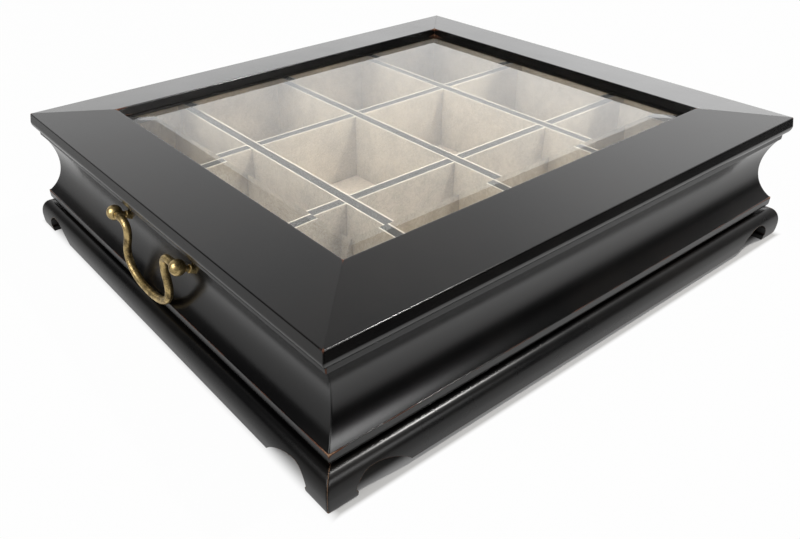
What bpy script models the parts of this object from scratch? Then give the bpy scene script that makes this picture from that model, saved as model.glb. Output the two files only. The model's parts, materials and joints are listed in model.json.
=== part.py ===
"""Table-top display case: a glazed, hinged lid on a coved box with bracket feet, dividers and bail handles.

Metres, +Z up. The origin is on the floor under the middle of the case, the hinges are at +Y and the handles
at the -X and +X ends. Insets are measured inwards from the lid's outer line, the nose of its edge.
"""

import math

import bmesh
import bpy
from mathutils import Vector

# Clearances
FIT = 0.0003  # between pieces that touch
SEAM = 0.0004  # between the closed lid and the rim of the case
PIVOT_FIT = 0.00025  # round a hinge pin or a bail's end
BAIL_REST = 0.0004  # between a hanging bail and the lip

# Lid frame
LID_WIDTH = 0.402
LID_DEPTH = 0.359
LID_RAIL_WIDTH = 0.0477
LID_EDGE_HEIGHT = 0.0115
LID_CROWN = 0.005
NOSE_HEIGHT = 0.0054
NOSE_UNDERCUT = 0.0036
EDGE_LEAN = 0.001
ARRIS_RADIUS = 0.0008

# Glass and the beads that hold it
REVEAL = 0.0062  # wood showing above the edge of the glass
RABBET_WIDTH = 0.006
GLASS_THICKNESS = 0.004
GLASS_EDGE = 0.0017
GLASS_BEVEL = 0.025
BEAD_HEIGHT = 0.005
BEAD_RADIUS = 0.003

# Case walls
CASE_HEIGHT = 0.0562
WALL_INSET = 0.0224  # inner face
FILLET_INSET = 0.0037
FILLET_HEIGHT = 0.0041
FILLET_QUIRK = 0.0007
COVE_DEPTH = 0.0076
LIP_INSET = 0.0006
LIP_HEIGHT = 0.0075
LIP_LEDGE = 0.0006
LIP_UNDERCUT = 0.002
LIP_ROUNDING = 0.003

# Bottom board and base
BOARD_THICKNESS = 0.0045
SHADOW_GAP = 0.0014  # between the base rails and the lip
BASE_HEIGHT = 0.0202
BASE_PROJECTION = 0.0069
BASE_BULGE_HEIGHT = 0.008
BASE_CREST_INSET = 0.0005
BASE_CREST_FALL = 0.0008
BASE_TUCK = 0.001
SHELF_INSET = 0.007
BASE_INNER_INSET = 0.012

# Bracket feet, measured along a face from the corner
FOOT_WIDTH = 0.0176
TOE_LENGTH = 0.0013
TOE_HEIGHT = 0.0043
ARCH_PEAK = 0.0285
ARCH_HEIGHT = 0.0144
ARCH_END = 0.0531
APRON_CLEARANCE = 0.003
BLOCK_LEG = 0.016
BLOCK_LIFT = 0.001

# Linings and dividers
COLUMNS = 4
ROWS = 3
FLOOR_LINING = 0.0025
LINING = 0.001
DIVIDER_BOARD = 0.0056
DIVIDER_DROP = 0.005  # from the rim down to the tops of the dividers

# Hinges
HINGE_SPREAD = 0.22
HINGE_LENGTH = 0.04
LEAF_THICKNESS = 0.0012
LEAF_DEPTH = 0.012
KNUCKLE_RADIUS = 0.0022
PIN_RADIUS = 0.0011
PIN_HEAD_RADIUS = 0.0018
PIN_HEAD_HEIGHT = 0.0008
AXIS_OUTSET = 0.0008

# Handles
BALL_SPACING = 0.0835
BALL_RADIUS = 0.0049
BALL_INSET = 0.0004
PIVOT_HEIGHT = 0.0438  # above the underside of the walls
POST_RAKE = 28.0  # degrees by which a post rises on its way out of the wall
NECK_RADIUS = 0.0019
STEM_RADIUS = 0.0025
STEM_PROUD = 0.0012  # beyond the highest point of the cove round it
STEM_LENGTH = 0.009
WIRE_RADIUS = 0.0025
BAIL_NECK = 0.0105  # straight wire between a ball's centre and the bend
BAIL_SHOULDER = 0.0242
BAIL_SHOULDER_DROP = 0.0065
BAIL_BELLY = 0.028
BAIL_BELLY_DROP = 0.021
BAIL_DROP = 0.0365
BAIL_END_REACH = 0.002  # of the curve's handles in the straight ends

# Shares of a run that the handles of the bail's curve take
NECK_EASE = 0.6
SWAY_EASE = 0.7
BOTTOM_EASE = 0.62

# Fineness of round shapes
ARC_STEPS = 10
ROUND_STEPS = 4
TURN_STEPS = 24
WIRE_STEPS = 6
WIRE_SIDES = 4
SMOOTH_ANGLE = 35.0  # degrees, up to which an edge is shaded as round
MERGE_DISTANCE = 0.00001

# Heights that follow from the sizes above
CASE_BOTTOM = BASE_HEIGHT + SHADOW_GAP
RIM = CASE_BOTTOM + CASE_HEIGHT
LID_BOTTOM = RIM + SEAM
HINGE_AXIS = RIM + SEAM / 2
BOARD_TOP = CASE_BOTTOM - FIT
SHELF = BOARD_TOP - BOARD_THICKNESS - FIT
FLOOR = CASE_BOTTOM + FLOOR_LINING
DIVIDER_FOOT = FLOOR + FIT
DIVIDER_HEIGHT = RIM - DIVIDER_DROP - DIVIDER_FOOT
PIVOT = CASE_BOTTOM + PIVOT_HEIGHT

# The glass hangs a fit below the rabbet at the edge of the opening, where its bevel has already risen
RABBET_TOP = LID_EDGE_HEIGHT + LID_CROWN - REVEAL
BEVEL_RISE = GLASS_THICKNESS - GLASS_EDGE
GLASS_BOTTOM = RABBET_TOP - FIT - GLASS_EDGE - BEVEL_RISE * (RABBET_WIDTH - FIT) / GLASS_BEVEL

# The lined space and the dividers that share it out
DIVIDER_THICKNESS = DIVIDER_BOARD + 2 * (FIT + LINING)
LINED_INSET = WALL_INSET + FIT + LINING
LINED_WIDTH = LID_WIDTH - 2 * LINED_INSET
LINED_DEPTH = LID_DEPTH - 2 * LINED_INSET

# Turn about Z, length and distance from the middle of each side
SIDES = {
    "front": (0.0, LID_WIDTH, LID_DEPTH / 2),
    "right": (math.pi / 2, LID_DEPTH, LID_WIDTH / 2),
    "back": (math.pi, LID_WIDTH, LID_DEPTH / 2),
    "left": (-math.pi / 2, LID_DEPTH, LID_WIDTH / 2),
}

# Colour, roughness and metallic value of each finish
FINISHES = {
    "lacquer": ((0.012, 0.011, 0.011, 1.0), 0.28, 0.0),
    "glass": ((0.90, 0.94, 0.92, 1.0), 0.03, 0.0),
    "suede": ((0.54, 0.47, 0.38, 1.0), 0.95, 0.0),
    "board": ((0.27, 0.28, 0.27, 1.0), 0.85, 0.0),
    "bare_wood": ((0.16, 0.09, 0.05, 1.0), 0.7, 0.0),
    "brass": ((0.36, 0.26, 0.11, 1.0), 0.35, 1.0),
}


def clear_scene():
    """Removes every object that the file starts with."""
    for obj in list(bpy.data.objects):
        bpy.data.objects.remove(obj, do_unlink=True)


def new_collection(name):
    """Makes a collection in the scene."""
    collection = bpy.data.collections.new(name)
    bpy.context.scene.collection.children.link(collection)
    return collection


clear_scene()
PARTS = new_collection("display_case")
CUTTERS = new_collection("display_case_cutters")


def add_object(name, data, collection):
    """Puts new data into the scene as an object."""
    obj = bpy.data.objects.new(name, data)
    collection.objects.link(obj)
    return obj


def finish_part(obj, finish, smooth=True):
    """Gives a sub-part its own material and its shading."""
    colour, roughness, metallic = FINISHES[finish]
    material = bpy.data.materials.new(obj.name)
    material.use_nodes = True
    shader = material.node_tree.nodes["Principled BSDF"]
    shader.inputs["Base Color"].default_value = colour
    shader.inputs["Roughness"].default_value = roughness
    shader.inputs["Metallic"].default_value = metallic
    shader.inputs["Transmission Weight"].default_value = 1.0 if finish == "glass" else 0.0
    obj.data.materials.clear()
    obj.data.materials.append(material)
    if smooth:
        obj.data.shade_smooth()
        obj.data.set_sharp_from_angle(angle=math.radians(SMOOTH_ANGLE))
    return obj


def mesh_from_curve(curve_object, collection):
    """Turns a filled curve into a closed mesh object of the same name and place."""
    depsgraph = bpy.context.evaluated_depsgraph_get()
    mesh = bpy.data.meshes.new_from_object(curve_object.evaluated_get(depsgraph))
    shape = bmesh.new()
    shape.from_mesh(mesh)
    bmesh.ops.remove_doubles(shape, verts=shape.verts, dist=MERGE_DISTANCE)
    bmesh.ops.recalc_face_normals(shape, faces=shape.faces)
    shape.to_mesh(mesh)
    shape.free()
    name = curve_object.name
    matrix = curve_object.matrix_world.copy()
    curve = curve_object.data
    bpy.data.objects.remove(curve_object, do_unlink=True)
    bpy.data.curves.remove(curve)
    obj = add_object(name, mesh, collection)
    obj.matrix_world = matrix
    return obj


def plate(name, outline, thickness, collection=PARTS):
    """Fills a closed outline in local XY and thickens it along local Z, half to each side."""
    curve = bpy.data.curves.new(name, "CURVE")
    curve.dimensions = "2D"
    curve.fill_mode = "BOTH"
    curve.extrude = thickness / 2
    spline = curve.splines.new("POLY")
    spline.points.add(len(outline) - 1)
    for point, (x, y) in zip(spline.points, outline):
        point.co = (x, y, 0.0, 1.0)
    spline.use_cyclic_u = True
    return mesh_from_curve(add_object(name, curve, collection), collection)


def box(name, low, high, collection=PARTS):
    """Makes a box between two corners, with the object's origin where those are measured from."""
    shape = bmesh.new()
    bmesh.ops.create_cube(shape, size=1.0)
    size = Vector(high) - Vector(low)
    middle = (Vector(high) + Vector(low)) / 2
    bmesh.ops.scale(shape, vec=size, verts=shape.verts)
    bmesh.ops.translate(shape, vec=middle, verts=shape.verts)
    mesh = bpy.data.meshes.new(name)
    shape.to_mesh(mesh)
    shape.free()
    return add_object(name, mesh, collection)


def rod(name, radius, length, collection=CUTTERS):
    """Makes a cylinder along local Z, centred on its origin."""
    shape = bmesh.new()
    bmesh.ops.create_cone(
        shape, cap_ends=True, segments=TURN_STEPS, radius1=radius, radius2=radius, depth=length
    )
    mesh = bpy.data.meshes.new(name)
    shape.to_mesh(mesh)
    shape.free()
    return add_object(name, mesh, collection)


def turned(name, profile):
    """Turns (radius, height) points, listed from top to bottom, about local Z."""
    mesh = bpy.data.meshes.new(name)
    points = [(radius, 0.0, height) for radius, height in profile]
    mesh.from_pydata(points, [(i, i + 1) for i in range(len(points) - 1)], [])
    obj = add_object(name, mesh, PARTS)
    screw = obj.modifiers.new("turn", "SCREW")
    screw.steps = TURN_STEPS
    screw.render_steps = TURN_STEPS
    screw.use_merge_vertices = True
    screw.merge_threshold = MERGE_DISTANCE
    return obj


def change(obj, tool, operation="DIFFERENCE"):
    """Cuts a part with a tool object, or joins the tool to it."""
    modifier = obj.modifiers.new(tool.name, "BOOLEAN")
    modifier.operation = operation
    modifier.object = tool
    tool.hide_render = True
    tool.display_type = "WIRE"


def circle_on(start, end, sagitta):
    """Centre and signed radius of the circle whose arc stands off its chord, to the left, by the sagitta."""
    start, end = Vector(start), Vector(end)
    chord = end - start
    normal = Vector((-chord.y, chord.x)).normalized()
    radius = (chord.length_squared / 4 + sagitta**2) / (2 * sagitta)
    return (start + end) / 2 + normal * (sagitta - radius), radius


def arc(start, end, sagitta, steps=ARC_STEPS):
    """Points of a circular arc from start to end."""
    centre, radius = circle_on(start, end, sagitta)
    along = (Vector(end) - Vector(start)).normalized()
    normal = Vector((-along.y, along.x))
    half = math.asin((Vector(end) - Vector(start)).length / 2 / radius)
    angles = [half * (2 * i / steps - 1) for i in range(steps + 1)]
    return [tuple(centre + radius * (normal * math.cos(a) + along * math.sin(a))) for a in angles]


def level_arc(start, end, steps=ARC_STEPS):
    """Points of a circular arc that leaves start along the first axis."""
    run, drop = end[0] - start[0], end[1] - start[1]
    radius = (run**2 + drop**2) / (2 * drop)
    sweep = math.asin(run / radius)
    angles = [sweep * i / steps for i in range(steps + 1)]
    return [(start[0] + radius * math.sin(a), start[1] + radius * (1 - math.cos(a))) for a in angles]


def quarter(start, end, upright_start, steps=ARC_STEPS):
    """Points of a quarter of an ellipse that leaves start upright and reaches end level, or the reverse."""
    run, rise = end[0] - start[0], end[1] - start[1]
    angles = [math.pi / 2 * i / steps for i in range(steps + 1)]
    if upright_start:
        return [(end[0] - run * math.cos(a), start[1] + rise * math.sin(a)) for a in angles]
    return [(start[0] + run * math.sin(a), end[1] - rise * math.cos(a)) for a in angles]


def rounded(before, corner, after, radius, steps=ROUND_STEPS):
    """Points of a fillet on a corner between its two neighbours."""
    corner = Vector(corner)
    first = (Vector(before) - corner).normalized()
    second = (Vector(after) - corner).normalized()
    half = first.angle(second) / 2
    reach = radius / math.tan(half)
    start, end = corner + first * reach, corner + second * reach
    side = math.copysign(1.0, (end - start).cross(corner - start))
    return arc(start, end, side * radius * (1 - math.sin(half)), steps)


def place_on_side(obj, side, height):
    """Sets local X inwards, local Y upwards and local Z along a side, from the lid's outer line."""
    angle, _, distance = SIDES[side]
    obj.rotation_euler = (math.pi / 2, 0.0, math.pi / 2 + angle)
    obj.location = (distance * math.sin(angle), -distance * math.cos(angle), height)
    return obj


def place_along_side(obj, side, inset, height):
    """Sets local X along a side, local Y up and local Z outwards, at an inset from the lid's outer line."""
    angle, _, distance = SIDES[side]
    reach = distance - inset
    obj.rotation_euler = (math.pi / 2, 0.0, angle)
    obj.location = (reach * math.sin(angle), -reach * math.cos(angle), height)
    return obj


def carry(obj, empty):
    """Parents a part to an unturned empty and leaves it where it is."""
    obj.parent = empty
    obj.location = obj.location - empty.location
    return obj


def mitred_rail(name, profile, side, height):
    """Runs an (inset, height) profile along a side and cuts both ends back to the mitre."""
    length = SIDES[side][1]
    rail = plate(name, profile, length)
    for vertex in rail.data.vertices:
        reach = length / 2 - vertex.co.x - FIT / math.sqrt(2)
        vertex.co.z = math.copysign(reach, vertex.co.z)
    return place_on_side(rail, side, height)


def lid_profile():
    """Section of a lid rail: undercut, leaning edge, crowned top and glass rabbet."""
    seam = (NOSE_UNDERCUT, 0.0)
    nose = (0.0, NOSE_HEIGHT)
    arris = (EDGE_LEAN, LID_EDGE_HEIGHT)
    crest = (LID_RAIL_WIDTH, LID_EDGE_HEIGHT + LID_CROWN)
    rabbet_lip = (LID_RAIL_WIDTH, RABBET_TOP)
    rabbet_inset = LID_RAIL_WIDTH - RABBET_WIDTH
    return [
        *quarter(seam, nose, upright_start=False),
        *rounded(nose, arris, crest, ARRIS_RADIUS),
        *rounded(arris, crest, rabbet_lip, ARRIS_RADIUS),
        rabbet_lip,
        (rabbet_inset, RABBET_TOP),
        (rabbet_inset, 0.0),
    ]


def bead_profile():
    """Section of a glass bead, with its lower inner arris rounded."""
    outer = LID_RAIL_WIDTH - RABBET_WIDTH + FIT
    inner = LID_RAIL_WIDTH - FIT
    return [
        (outer, 0.0),
        (outer, BEAD_HEIGHT),
        (inner, BEAD_HEIGHT),
        *quarter((inner, BEAD_RADIUS), (inner - BEAD_RADIUS, 0.0), upright_start=True, steps=ROUND_STEPS),
    ]


COVE_LOW = (LIP_INSET + LIP_LEDGE, LIP_HEIGHT)
COVE_HIGH = (FILLET_INSET + FILLET_QUIRK, CASE_HEIGHT - FILLET_HEIGHT)


def wall_profile():
    """Section of a case wall: lip with a rounded underside, cove and top fillet."""
    lip_top = (LIP_INSET, LIP_HEIGHT)
    lip_low = (LIP_INSET, LIP_ROUNDING)
    fillet_low = (FILLET_INSET, CASE_HEIGHT - FILLET_HEIGHT)
    fillet_top = (FILLET_INSET, CASE_HEIGHT)
    rim_inner = (WALL_INSET, CASE_HEIGHT)
    edge_radius = ARRIS_RADIUS / 2
    return [
        *quarter((LIP_INSET + LIP_UNDERCUT, 0.0), lip_low, upright_start=False, steps=ROUND_STEPS),
        *rounded(lip_low, lip_top, COVE_LOW, edge_radius),
        *arc(COVE_LOW, COVE_HIGH, -COVE_DEPTH, 2 * ARC_STEPS),
        *rounded(COVE_HIGH, fillet_low, fillet_top, edge_radius),
        *rounded(fillet_low, fillet_top, rim_inner, edge_radius),
        rim_inner,
        (WALL_INSET, 0.0),
    ]


def base_profile():
    """Section of a base rail: tucked foot, bulge, rounded top and the shelf for the bottom board."""
    bulge = (-BASE_PROJECTION, BASE_BULGE_HEIGHT)
    crest = (BASE_CREST_INSET, BASE_HEIGHT)
    foot = (BASE_TUCK - BASE_PROJECTION, 0.0)
    return [
        *quarter(foot, bulge, upright_start=False),
        *quarter(bulge, crest, upright_start=True)[1:],
        (SHELF_INSET, BASE_HEIGHT - BASE_CREST_FALL),
        (SHELF_INSET, SHELF),
        (BASE_INNER_INSET, SHELF),
        (BASE_INNER_INSET, 0.0),
    ]


def foot_cutout(side):
    """Outline below the apron and between the two feet of a side, with a scallop beside each foot."""
    half = SIDES[side][1] / 2 + BASE_PROJECTION
    toe = FOOT_WIDTH + TOE_LENGTH
    inner_toe = (FOOT_WIDTH, TOE_HEIGHT)
    peak = (ARCH_PEAK, ARCH_HEIGHT)
    half_outline = [
        (toe, -TOE_HEIGHT),
        *quarter((toe, TOE_HEIGHT - TOE_LENGTH), inner_toe, upright_start=True, steps=ROUND_STEPS),
        *quarter(inner_toe, peak, upright_start=True)[1:],
        *level_arc(peak, (ARCH_END, APRON_CLEARANCE))[1:],
    ]
    right = [(half - along, up) for along, up in half_outline]
    return right + [(-x, up) for x, up in reversed(right)]


def comb(length, slots, slot_width, from_top):
    """Outline of a divider with half-height slots for the dividers that cross it."""
    depth = (DIVIDER_HEIGHT + FIT) / 2
    outline = [(-length / 2, 0.0)]
    for middle in slots:
        left, right = middle - slot_width / 2, middle + slot_width / 2
        outline += [(left, 0.0), (left, depth), (right, depth), (right, 0.0)]
    outline += [(length / 2, 0.0), (length / 2, DIVIDER_HEIGHT), (-length / 2, DIVIDER_HEIGHT)]
    if from_top:
        return [(x, DIVIDER_HEIGHT - y) for x, y in outline]
    return outline


def shares(space, count):
    """Middles of the dividers that share a lined space into equal compartments."""
    pitch = (space + DIVIDER_THICKNESS) / count
    return [pitch * (i + 1) - (space + DIVIDER_THICKNESS) / 2 for i in range(count - 1)]


def make_base():
    """Four mitred rails with bracket feet, and the blocks inside the corners."""
    for side in SIDES:
        rail = mitred_rail(f"base_rail_{side}", base_profile(), side, 0.0)
        reach = 2 * (BASE_PROJECTION + BASE_INNER_INSET)
        cutter = plate(f"base_cutout_{side}", foot_cutout(side), reach, CUTTERS)
        place_along_side(cutter, side, (BASE_INNER_INSET - BASE_PROJECTION) / 2, 0.0)
        change(rail, cutter)
        finish_part(rail, "lacquer")

    top = SHELF
    corner = BASE_INNER_INSET + FIT
    turns = {"front_left": 0, "front_right": 1, "back_right": 2, "back_left": 3}
    for name, turn in turns.items():
        outline = [(0.0, 0.0), (BLOCK_LEG, 0.0), (0.0, BLOCK_LEG)]
        block = plate(f"corner_block_{name}", outline, top - BLOCK_LIFT)
        x = LID_WIDTH / 2 - corner
        y = LID_DEPTH / 2 - corner
        block.location = (
            x if "right" in name else -x,
            y if "back" in name else -y,
            (top + BLOCK_LIFT) / 2,
        )
        block.rotation_euler.z = turn * math.pi / 2
        finish_part(block, "bare_wood", smooth=False)


def make_case():
    """Bottom board, coved walls and the suede on the floor and walls."""
    half_x = LID_WIDTH / 2 - SHELF_INSET - FIT
    half_y = LID_DEPTH / 2 - SHELF_INSET - FIT
    board = box("case_bottom", (-half_x, -half_y, -BOARD_THICKNESS), (half_x, half_y, 0.0))
    board.location.z = BOARD_TOP
    finish_part(board, "bare_wood", smooth=False)

    walls = {}
    for side in SIDES:
        walls[side] = mitred_rail(f"case_wall_{side}", wall_profile(), side, CASE_BOTTOM)
        finish_part(walls[side], "lacquer")

    half_x = LID_WIDTH / 2 - WALL_INSET - FIT
    half_y = LID_DEPTH / 2 - WALL_INSET - FIT
    floor = box("floor_lining", (-half_x, -half_y, 0.0), (half_x, half_y, FLOOR_LINING))
    floor.location.z = CASE_BOTTOM
    finish_part(floor, "suede", smooth=False)

    for side in SIDES:
        half = half_x if side in ("front", "back") else half_y - LINING - FIT
        sheet = box(f"wall_lining_{side}", (-half, 0.0, -LINING), (half, DIVIDER_HEIGHT, 0.0))
        place_along_side(sheet, side, WALL_INSET + FIT, DIVIDER_FOOT)
        finish_part(sheet, "suede", smooth=False)
    return walls


def make_dividers():
    """Cross dividers slotted from below, long dividers slotted from above, and a lining on every face."""
    across = shares(LINED_WIDTH, COLUMNS)
    along = shares(LINED_DEPTH, ROWS)
    slot_width = DIVIDER_THICKNESS + 2 * FIT
    lining_offset = DIVIDER_BOARD / 2 + FIT + LINING / 2
    cross = comb(LINED_DEPTH - 2 * FIT, along, slot_width, from_top=False)
    long = comb(LINED_WIDTH - 2 * FIT, across, slot_width, from_top=True)

    for number, x in enumerate(across, 1):
        sheets = [(f"cross_divider_{number}", DIVIDER_BOARD, 0.0, "board")]
        sheets.append((f"cross_lining_{number}_left", LINING, -lining_offset, "suede"))
        sheets.append((f"cross_lining_{number}_right", LINING, lining_offset, "suede"))
        for name, thickness, offset, finish in sheets:
            sheet = plate(name, cross, thickness)
            sheet.rotation_euler = (math.pi / 2, 0.0, math.pi / 2)
            sheet.location = (x + offset, 0.0, DIVIDER_FOOT)
            finish_part(sheet, finish, smooth=False)

    for number, y in enumerate(along, 1):
        sheets = [(f"long_divider_{number}", DIVIDER_BOARD, 0.0, "board")]
        sheets.append((f"long_lining_{number}_front", LINING, -lining_offset, "suede"))
        sheets.append((f"long_lining_{number}_back", LINING, lining_offset, "suede"))
        for name, thickness, offset, finish in sheets:
            sheet = plate(name, long, thickness)
            sheet.rotation_euler = (math.pi / 2, 0.0, 0.0)
            sheet.location = (0.0, y + offset, DIVIDER_FOOT)
            finish_part(sheet, finish, smooth=False)


def make_lid():
    """Crowned rails, bevelled glass and beads, carried by an empty on the hinge axis."""
    axis = add_object("lid_axis", None, PARTS)
    axis.location = (0.0, LID_DEPTH / 2 + AXIS_OUTSET, HINGE_AXIS)
    rails = {}
    for side in SIDES:
        rails[side] = mitred_rail(f"lid_rail_{side}", lid_profile(), side, LID_BOTTOM)
        finish_part(carry(rails[side], axis), "lacquer")
        bead_foot = LID_BOTTOM + GLASS_BOTTOM - FIT - BEAD_HEIGHT
        bead = mitred_rail(f"glass_bead_{side}", bead_profile(), side, bead_foot)
        finish_part(carry(bead, axis), "lacquer")

    edge = LID_RAIL_WIDTH - RABBET_WIDTH + FIT
    half_x, half_y = LID_WIDTH / 2 - edge, LID_DEPTH / 2 - edge
    glass = box("lid_glass", (-half_x, -half_y, 0.0), (half_x, half_y, GLASS_EDGE))
    shape = bmesh.new()
    shape.from_mesh(glass.data)
    top = max(shape.faces, key=lambda face: face.calc_center_median().z)
    bmesh.ops.inset_region(shape, faces=[top], thickness=GLASS_BEVEL, use_even_offset=True)
    bmesh.ops.translate(shape, vec=(0.0, 0.0, BEVEL_RISE), verts=top.verts)
    shape.to_mesh(glass.data)
    shape.free()
    glass.location.z = LID_BOTTOM + GLASS_BOTTOM
    finish_part(carry(glass, axis), "glass", smooth=False)
    return axis, rails


def make_hinges(lid_axis, back_wall, back_rail):
    """Two butt hinges: a leaf let into the wall, a leaf let into the lid, and a headed pin."""
    third = HINGE_LENGTH / 3
    leaf_end = AXIS_OUTSET + FILLET_INSET + LEAF_DEPTH
    half_seam = SEAM / 2
    knuckles = {
        "case": [(-HINGE_LENGTH / 2, -(third + FIT) / 2), ((third + FIT) / 2, HINGE_LENGTH / 2)],
        "lid": [(-(third - FIT) / 2, (third - FIT) / 2)],
    }
    heights = {
        "case": (-half_seam - LEAF_THICKNESS, -half_seam),
        "lid": (half_seam, half_seam + LEAF_THICKNESS),
    }
    carriers = {"case": back_wall, "lid": back_rail}

    for hand, x in (("left", -HINGE_SPREAD / 2), ("right", HINGE_SPREAD / 2)):

        def on_axis(obj, shift=0.0):
            """Sets a hinge piece on the axis: local X into the case, local Y up, local Z to the left."""
            place_on_side(obj, "back", HINGE_AXIS)
            obj.location.y += AXIS_OUTSET
            obj.location.x = x - shift
            return obj

        bore = on_axis(rod(f"hinge_bore_{hand}", PIN_RADIUS + PIVOT_FIT, 2 * HINGE_LENGTH))
        room = on_axis(rod(f"hinge_room_{hand}", KNUCKLE_RADIUS + FIT, HINGE_LENGTH + 2 * FIT))
        for member, (low, high) in heights.items():
            half = HINGE_LENGTH / 2
            leaf = box(f"hinge_leaf_{member}_{hand}", (0.0, low, -half), (leaf_end, high, half))
            on_axis(leaf)
            for number, (start, end) in enumerate(knuckles[member], 1):
                knuckle = rod(f"knuckle_{member}_{hand}_{number}", KNUCKLE_RADIUS, end - start)
                change(leaf, on_axis(knuckle, (start + end) / 2), "UNION")
            other = "lid" if member == "case" else "case"
            for number, (start, end) in enumerate(knuckles[other], 1):
                notch = rod(f"notch_{member}_{hand}_{number}", KNUCKLE_RADIUS + FIT, end - start + 2 * FIT)
                change(leaf, on_axis(notch, (start + end) / 2))
            change(leaf, bore)

            mortise = box(
                f"mortise_{member}_{hand}",
                (-KNUCKLE_RADIUS, low - FIT if member == "case" else -KNUCKLE_RADIUS, -half - FIT),
                (leaf_end + FIT, high + FIT if member == "lid" else KNUCKLE_RADIUS, half + FIT),
                CUTTERS,
            )
            change(carriers[member], on_axis(mortise))
            change(carriers[member], room)
            if member == "lid":
                carry(leaf, lid_axis)
            finish_part(leaf, "brass")

        shoulder = HINGE_LENGTH / 2 + FIT
        tip = shoulder + PIN_HEAD_HEIGHT
        half_pin = [(0.0, tip), (PIN_HEAD_RADIUS, tip), (PIN_HEAD_RADIUS, shoulder), (PIN_RADIUS, shoulder)]
        pin = turned(f"hinge_pin_{hand}", half_pin + [(r, -z) for r, z in reversed(half_pin)])
        finish_part(on_axis(pin), "brass")


def reach_to_cove(above_axis=0.0):
    """Distance to the cove along a raked post from its ball, for a point square above its axis."""
    centre, radius = circle_on(COVE_LOW, COVE_HIGH, -COVE_DEPTH)
    rake = math.radians(POST_RAKE)
    inwards = Vector((math.cos(rake), -math.sin(rake)))
    square = Vector((math.sin(rake), math.cos(rake)))
    offset = Vector((BALL_INSET, PIVOT_HEIGHT)) + square * above_axis - centre
    run = offset.dot(inwards)
    return math.sqrt(radius**2 - offset.length_squared + run**2) - run


def post_profile():
    """Half section of a handle post, from the tip of its ball down to the end of the stem in the wall."""
    shoulder = STEM_PROUD - reach_to_cove(STEM_RADIUS)
    stem_end = -reach_to_cove() - STEM_LENGTH
    last = math.pi - math.asin(NECK_RADIUS / BALL_RADIUS)
    steps = 2 * ARC_STEPS
    ball = [
        (BALL_RADIUS * math.sin(last * i / steps), BALL_RADIUS * math.cos(last * i / steps))
        for i in range(steps + 1)
    ]
    return [
        *ball,
        (NECK_RADIUS, shoulder),
        (STEM_RADIUS, shoulder),
        (STEM_RADIUS, stem_end),
        (0.0, stem_end),
    ]


def bail_curve(name):
    """Swan-neck wire in local YZ, hung from the axis through its two ends."""
    end = BALL_SPACING / 2 + FIT
    neck = BALL_SPACING / 2 - BAIL_NECK
    bend = neck - BAIL_SHOULDER
    sway = (BAIL_BELLY_DROP - BAIL_SHOULDER_DROP) / 2
    bow = BAIL_DROP - BAIL_BELLY_DROP
    shoulder = (BAIL_SHOULDER, -BAIL_SHOULDER_DROP)
    # Each row: position, reach of the handle before it and reach of the handle after it
    half = [
        ((end, 0.0), (BAIL_END_REACH, 0.0), (-BAIL_END_REACH, 0.0)),
        ((neck, 0.0), (BAIL_END_REACH, 0.0), (-bend * NECK_EASE, 0.0)),
        (shoulder, (0.0, BAIL_SHOULDER_DROP * NECK_EASE), (0.0, -sway * SWAY_EASE)),
        ((BAIL_BELLY, -BAIL_BELLY_DROP), (0.0, sway * SWAY_EASE), (0.0, -bow * BOTTOM_EASE)),
        ((0.0, -BAIL_DROP), (BAIL_BELLY * BOTTOM_EASE, 0.0), (-BAIL_BELLY * BOTTOM_EASE, 0.0)),
    ]
    mirrored = [((-y, z), (-b[0], b[1]), (-a[0], a[1])) for (y, z), a, b in reversed(half[:-1])]
    rows = half + mirrored
    curve = bpy.data.curves.new(name, "CURVE")
    curve.dimensions = "3D"
    curve.bevel_depth = WIRE_RADIUS
    curve.bevel_resolution = WIRE_SIDES
    curve.resolution_u = WIRE_STEPS
    curve.use_fill_caps = True
    spline = curve.splines.new("BEZIER")
    spline.bezier_points.add(len(rows) - 1)
    for point, ((y, z), before, after) in zip(spline.bezier_points, rows):
        point.handle_left_type = "FREE"
        point.handle_right_type = "FREE"
        point.co = (0.0, y, z)
        point.handle_left = (0.0, y + before[0], z + before[1])
        point.handle_right = (0.0, y + after[0], z + after[1])
    return add_object(name, curve, PARTS)


def make_handles(walls):
    """On each end wall: two ball-headed posts and the bail that swings in their cross holes."""
    reach = LID_WIDTH / 2 - BALL_INSET
    lean = math.asin((BALL_INSET - LIP_INSET + WIRE_RADIUS + BAIL_REST) / BAIL_DROP)
    turn = math.pi / 2 - math.radians(POST_RAKE)
    bore_end = reach_to_cove() + STEM_LENGTH + FIT
    for side, outwards in (("left", -1.0), ("right", 1.0)):
        for end, towards in (("front", -1.0), ("back", 1.0)):
            y = towards * BALL_SPACING / 2
            post = turned(f"handle_post_{side}_{end}", post_profile())
            post.rotation_euler.y = outwards * turn
            post.location = (outwards * reach, y, PIVOT)

            hole = rod(f"bail_hole_{side}_{end}", WIRE_RADIUS + PIVOT_FIT, BALL_RADIUS + 2 * FIT)
            hole.rotation_euler.x = math.pi / 2
            hole.location = (outwards * reach, y - towards * (BALL_RADIUS / 2 - FIT), PIVOT)
            change(post, hole)
            finish_part(post, "brass")

            bore = rod(f"stem_bore_{side}_{end}", STEM_RADIUS + FIT, 2 * bore_end)
            bore.rotation_euler.y = outwards * turn
            bore.location = post.location
            change(walls[side], bore)

        bail = mesh_from_curve(bail_curve(f"{side}_bail"), PARTS)
        bail.location = (outwards * reach, 0.0, PIVOT)
        bail.rotation_euler.y = -outwards * lean
        finish_part(bail, "brass")


make_base()
case_walls = make_case()
make_dividers()
hinge_axis, lid_rails = make_lid()
make_hinges(hinge_axis, case_walls["back"], lid_rails["back"])
make_handles(case_walls)
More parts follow.
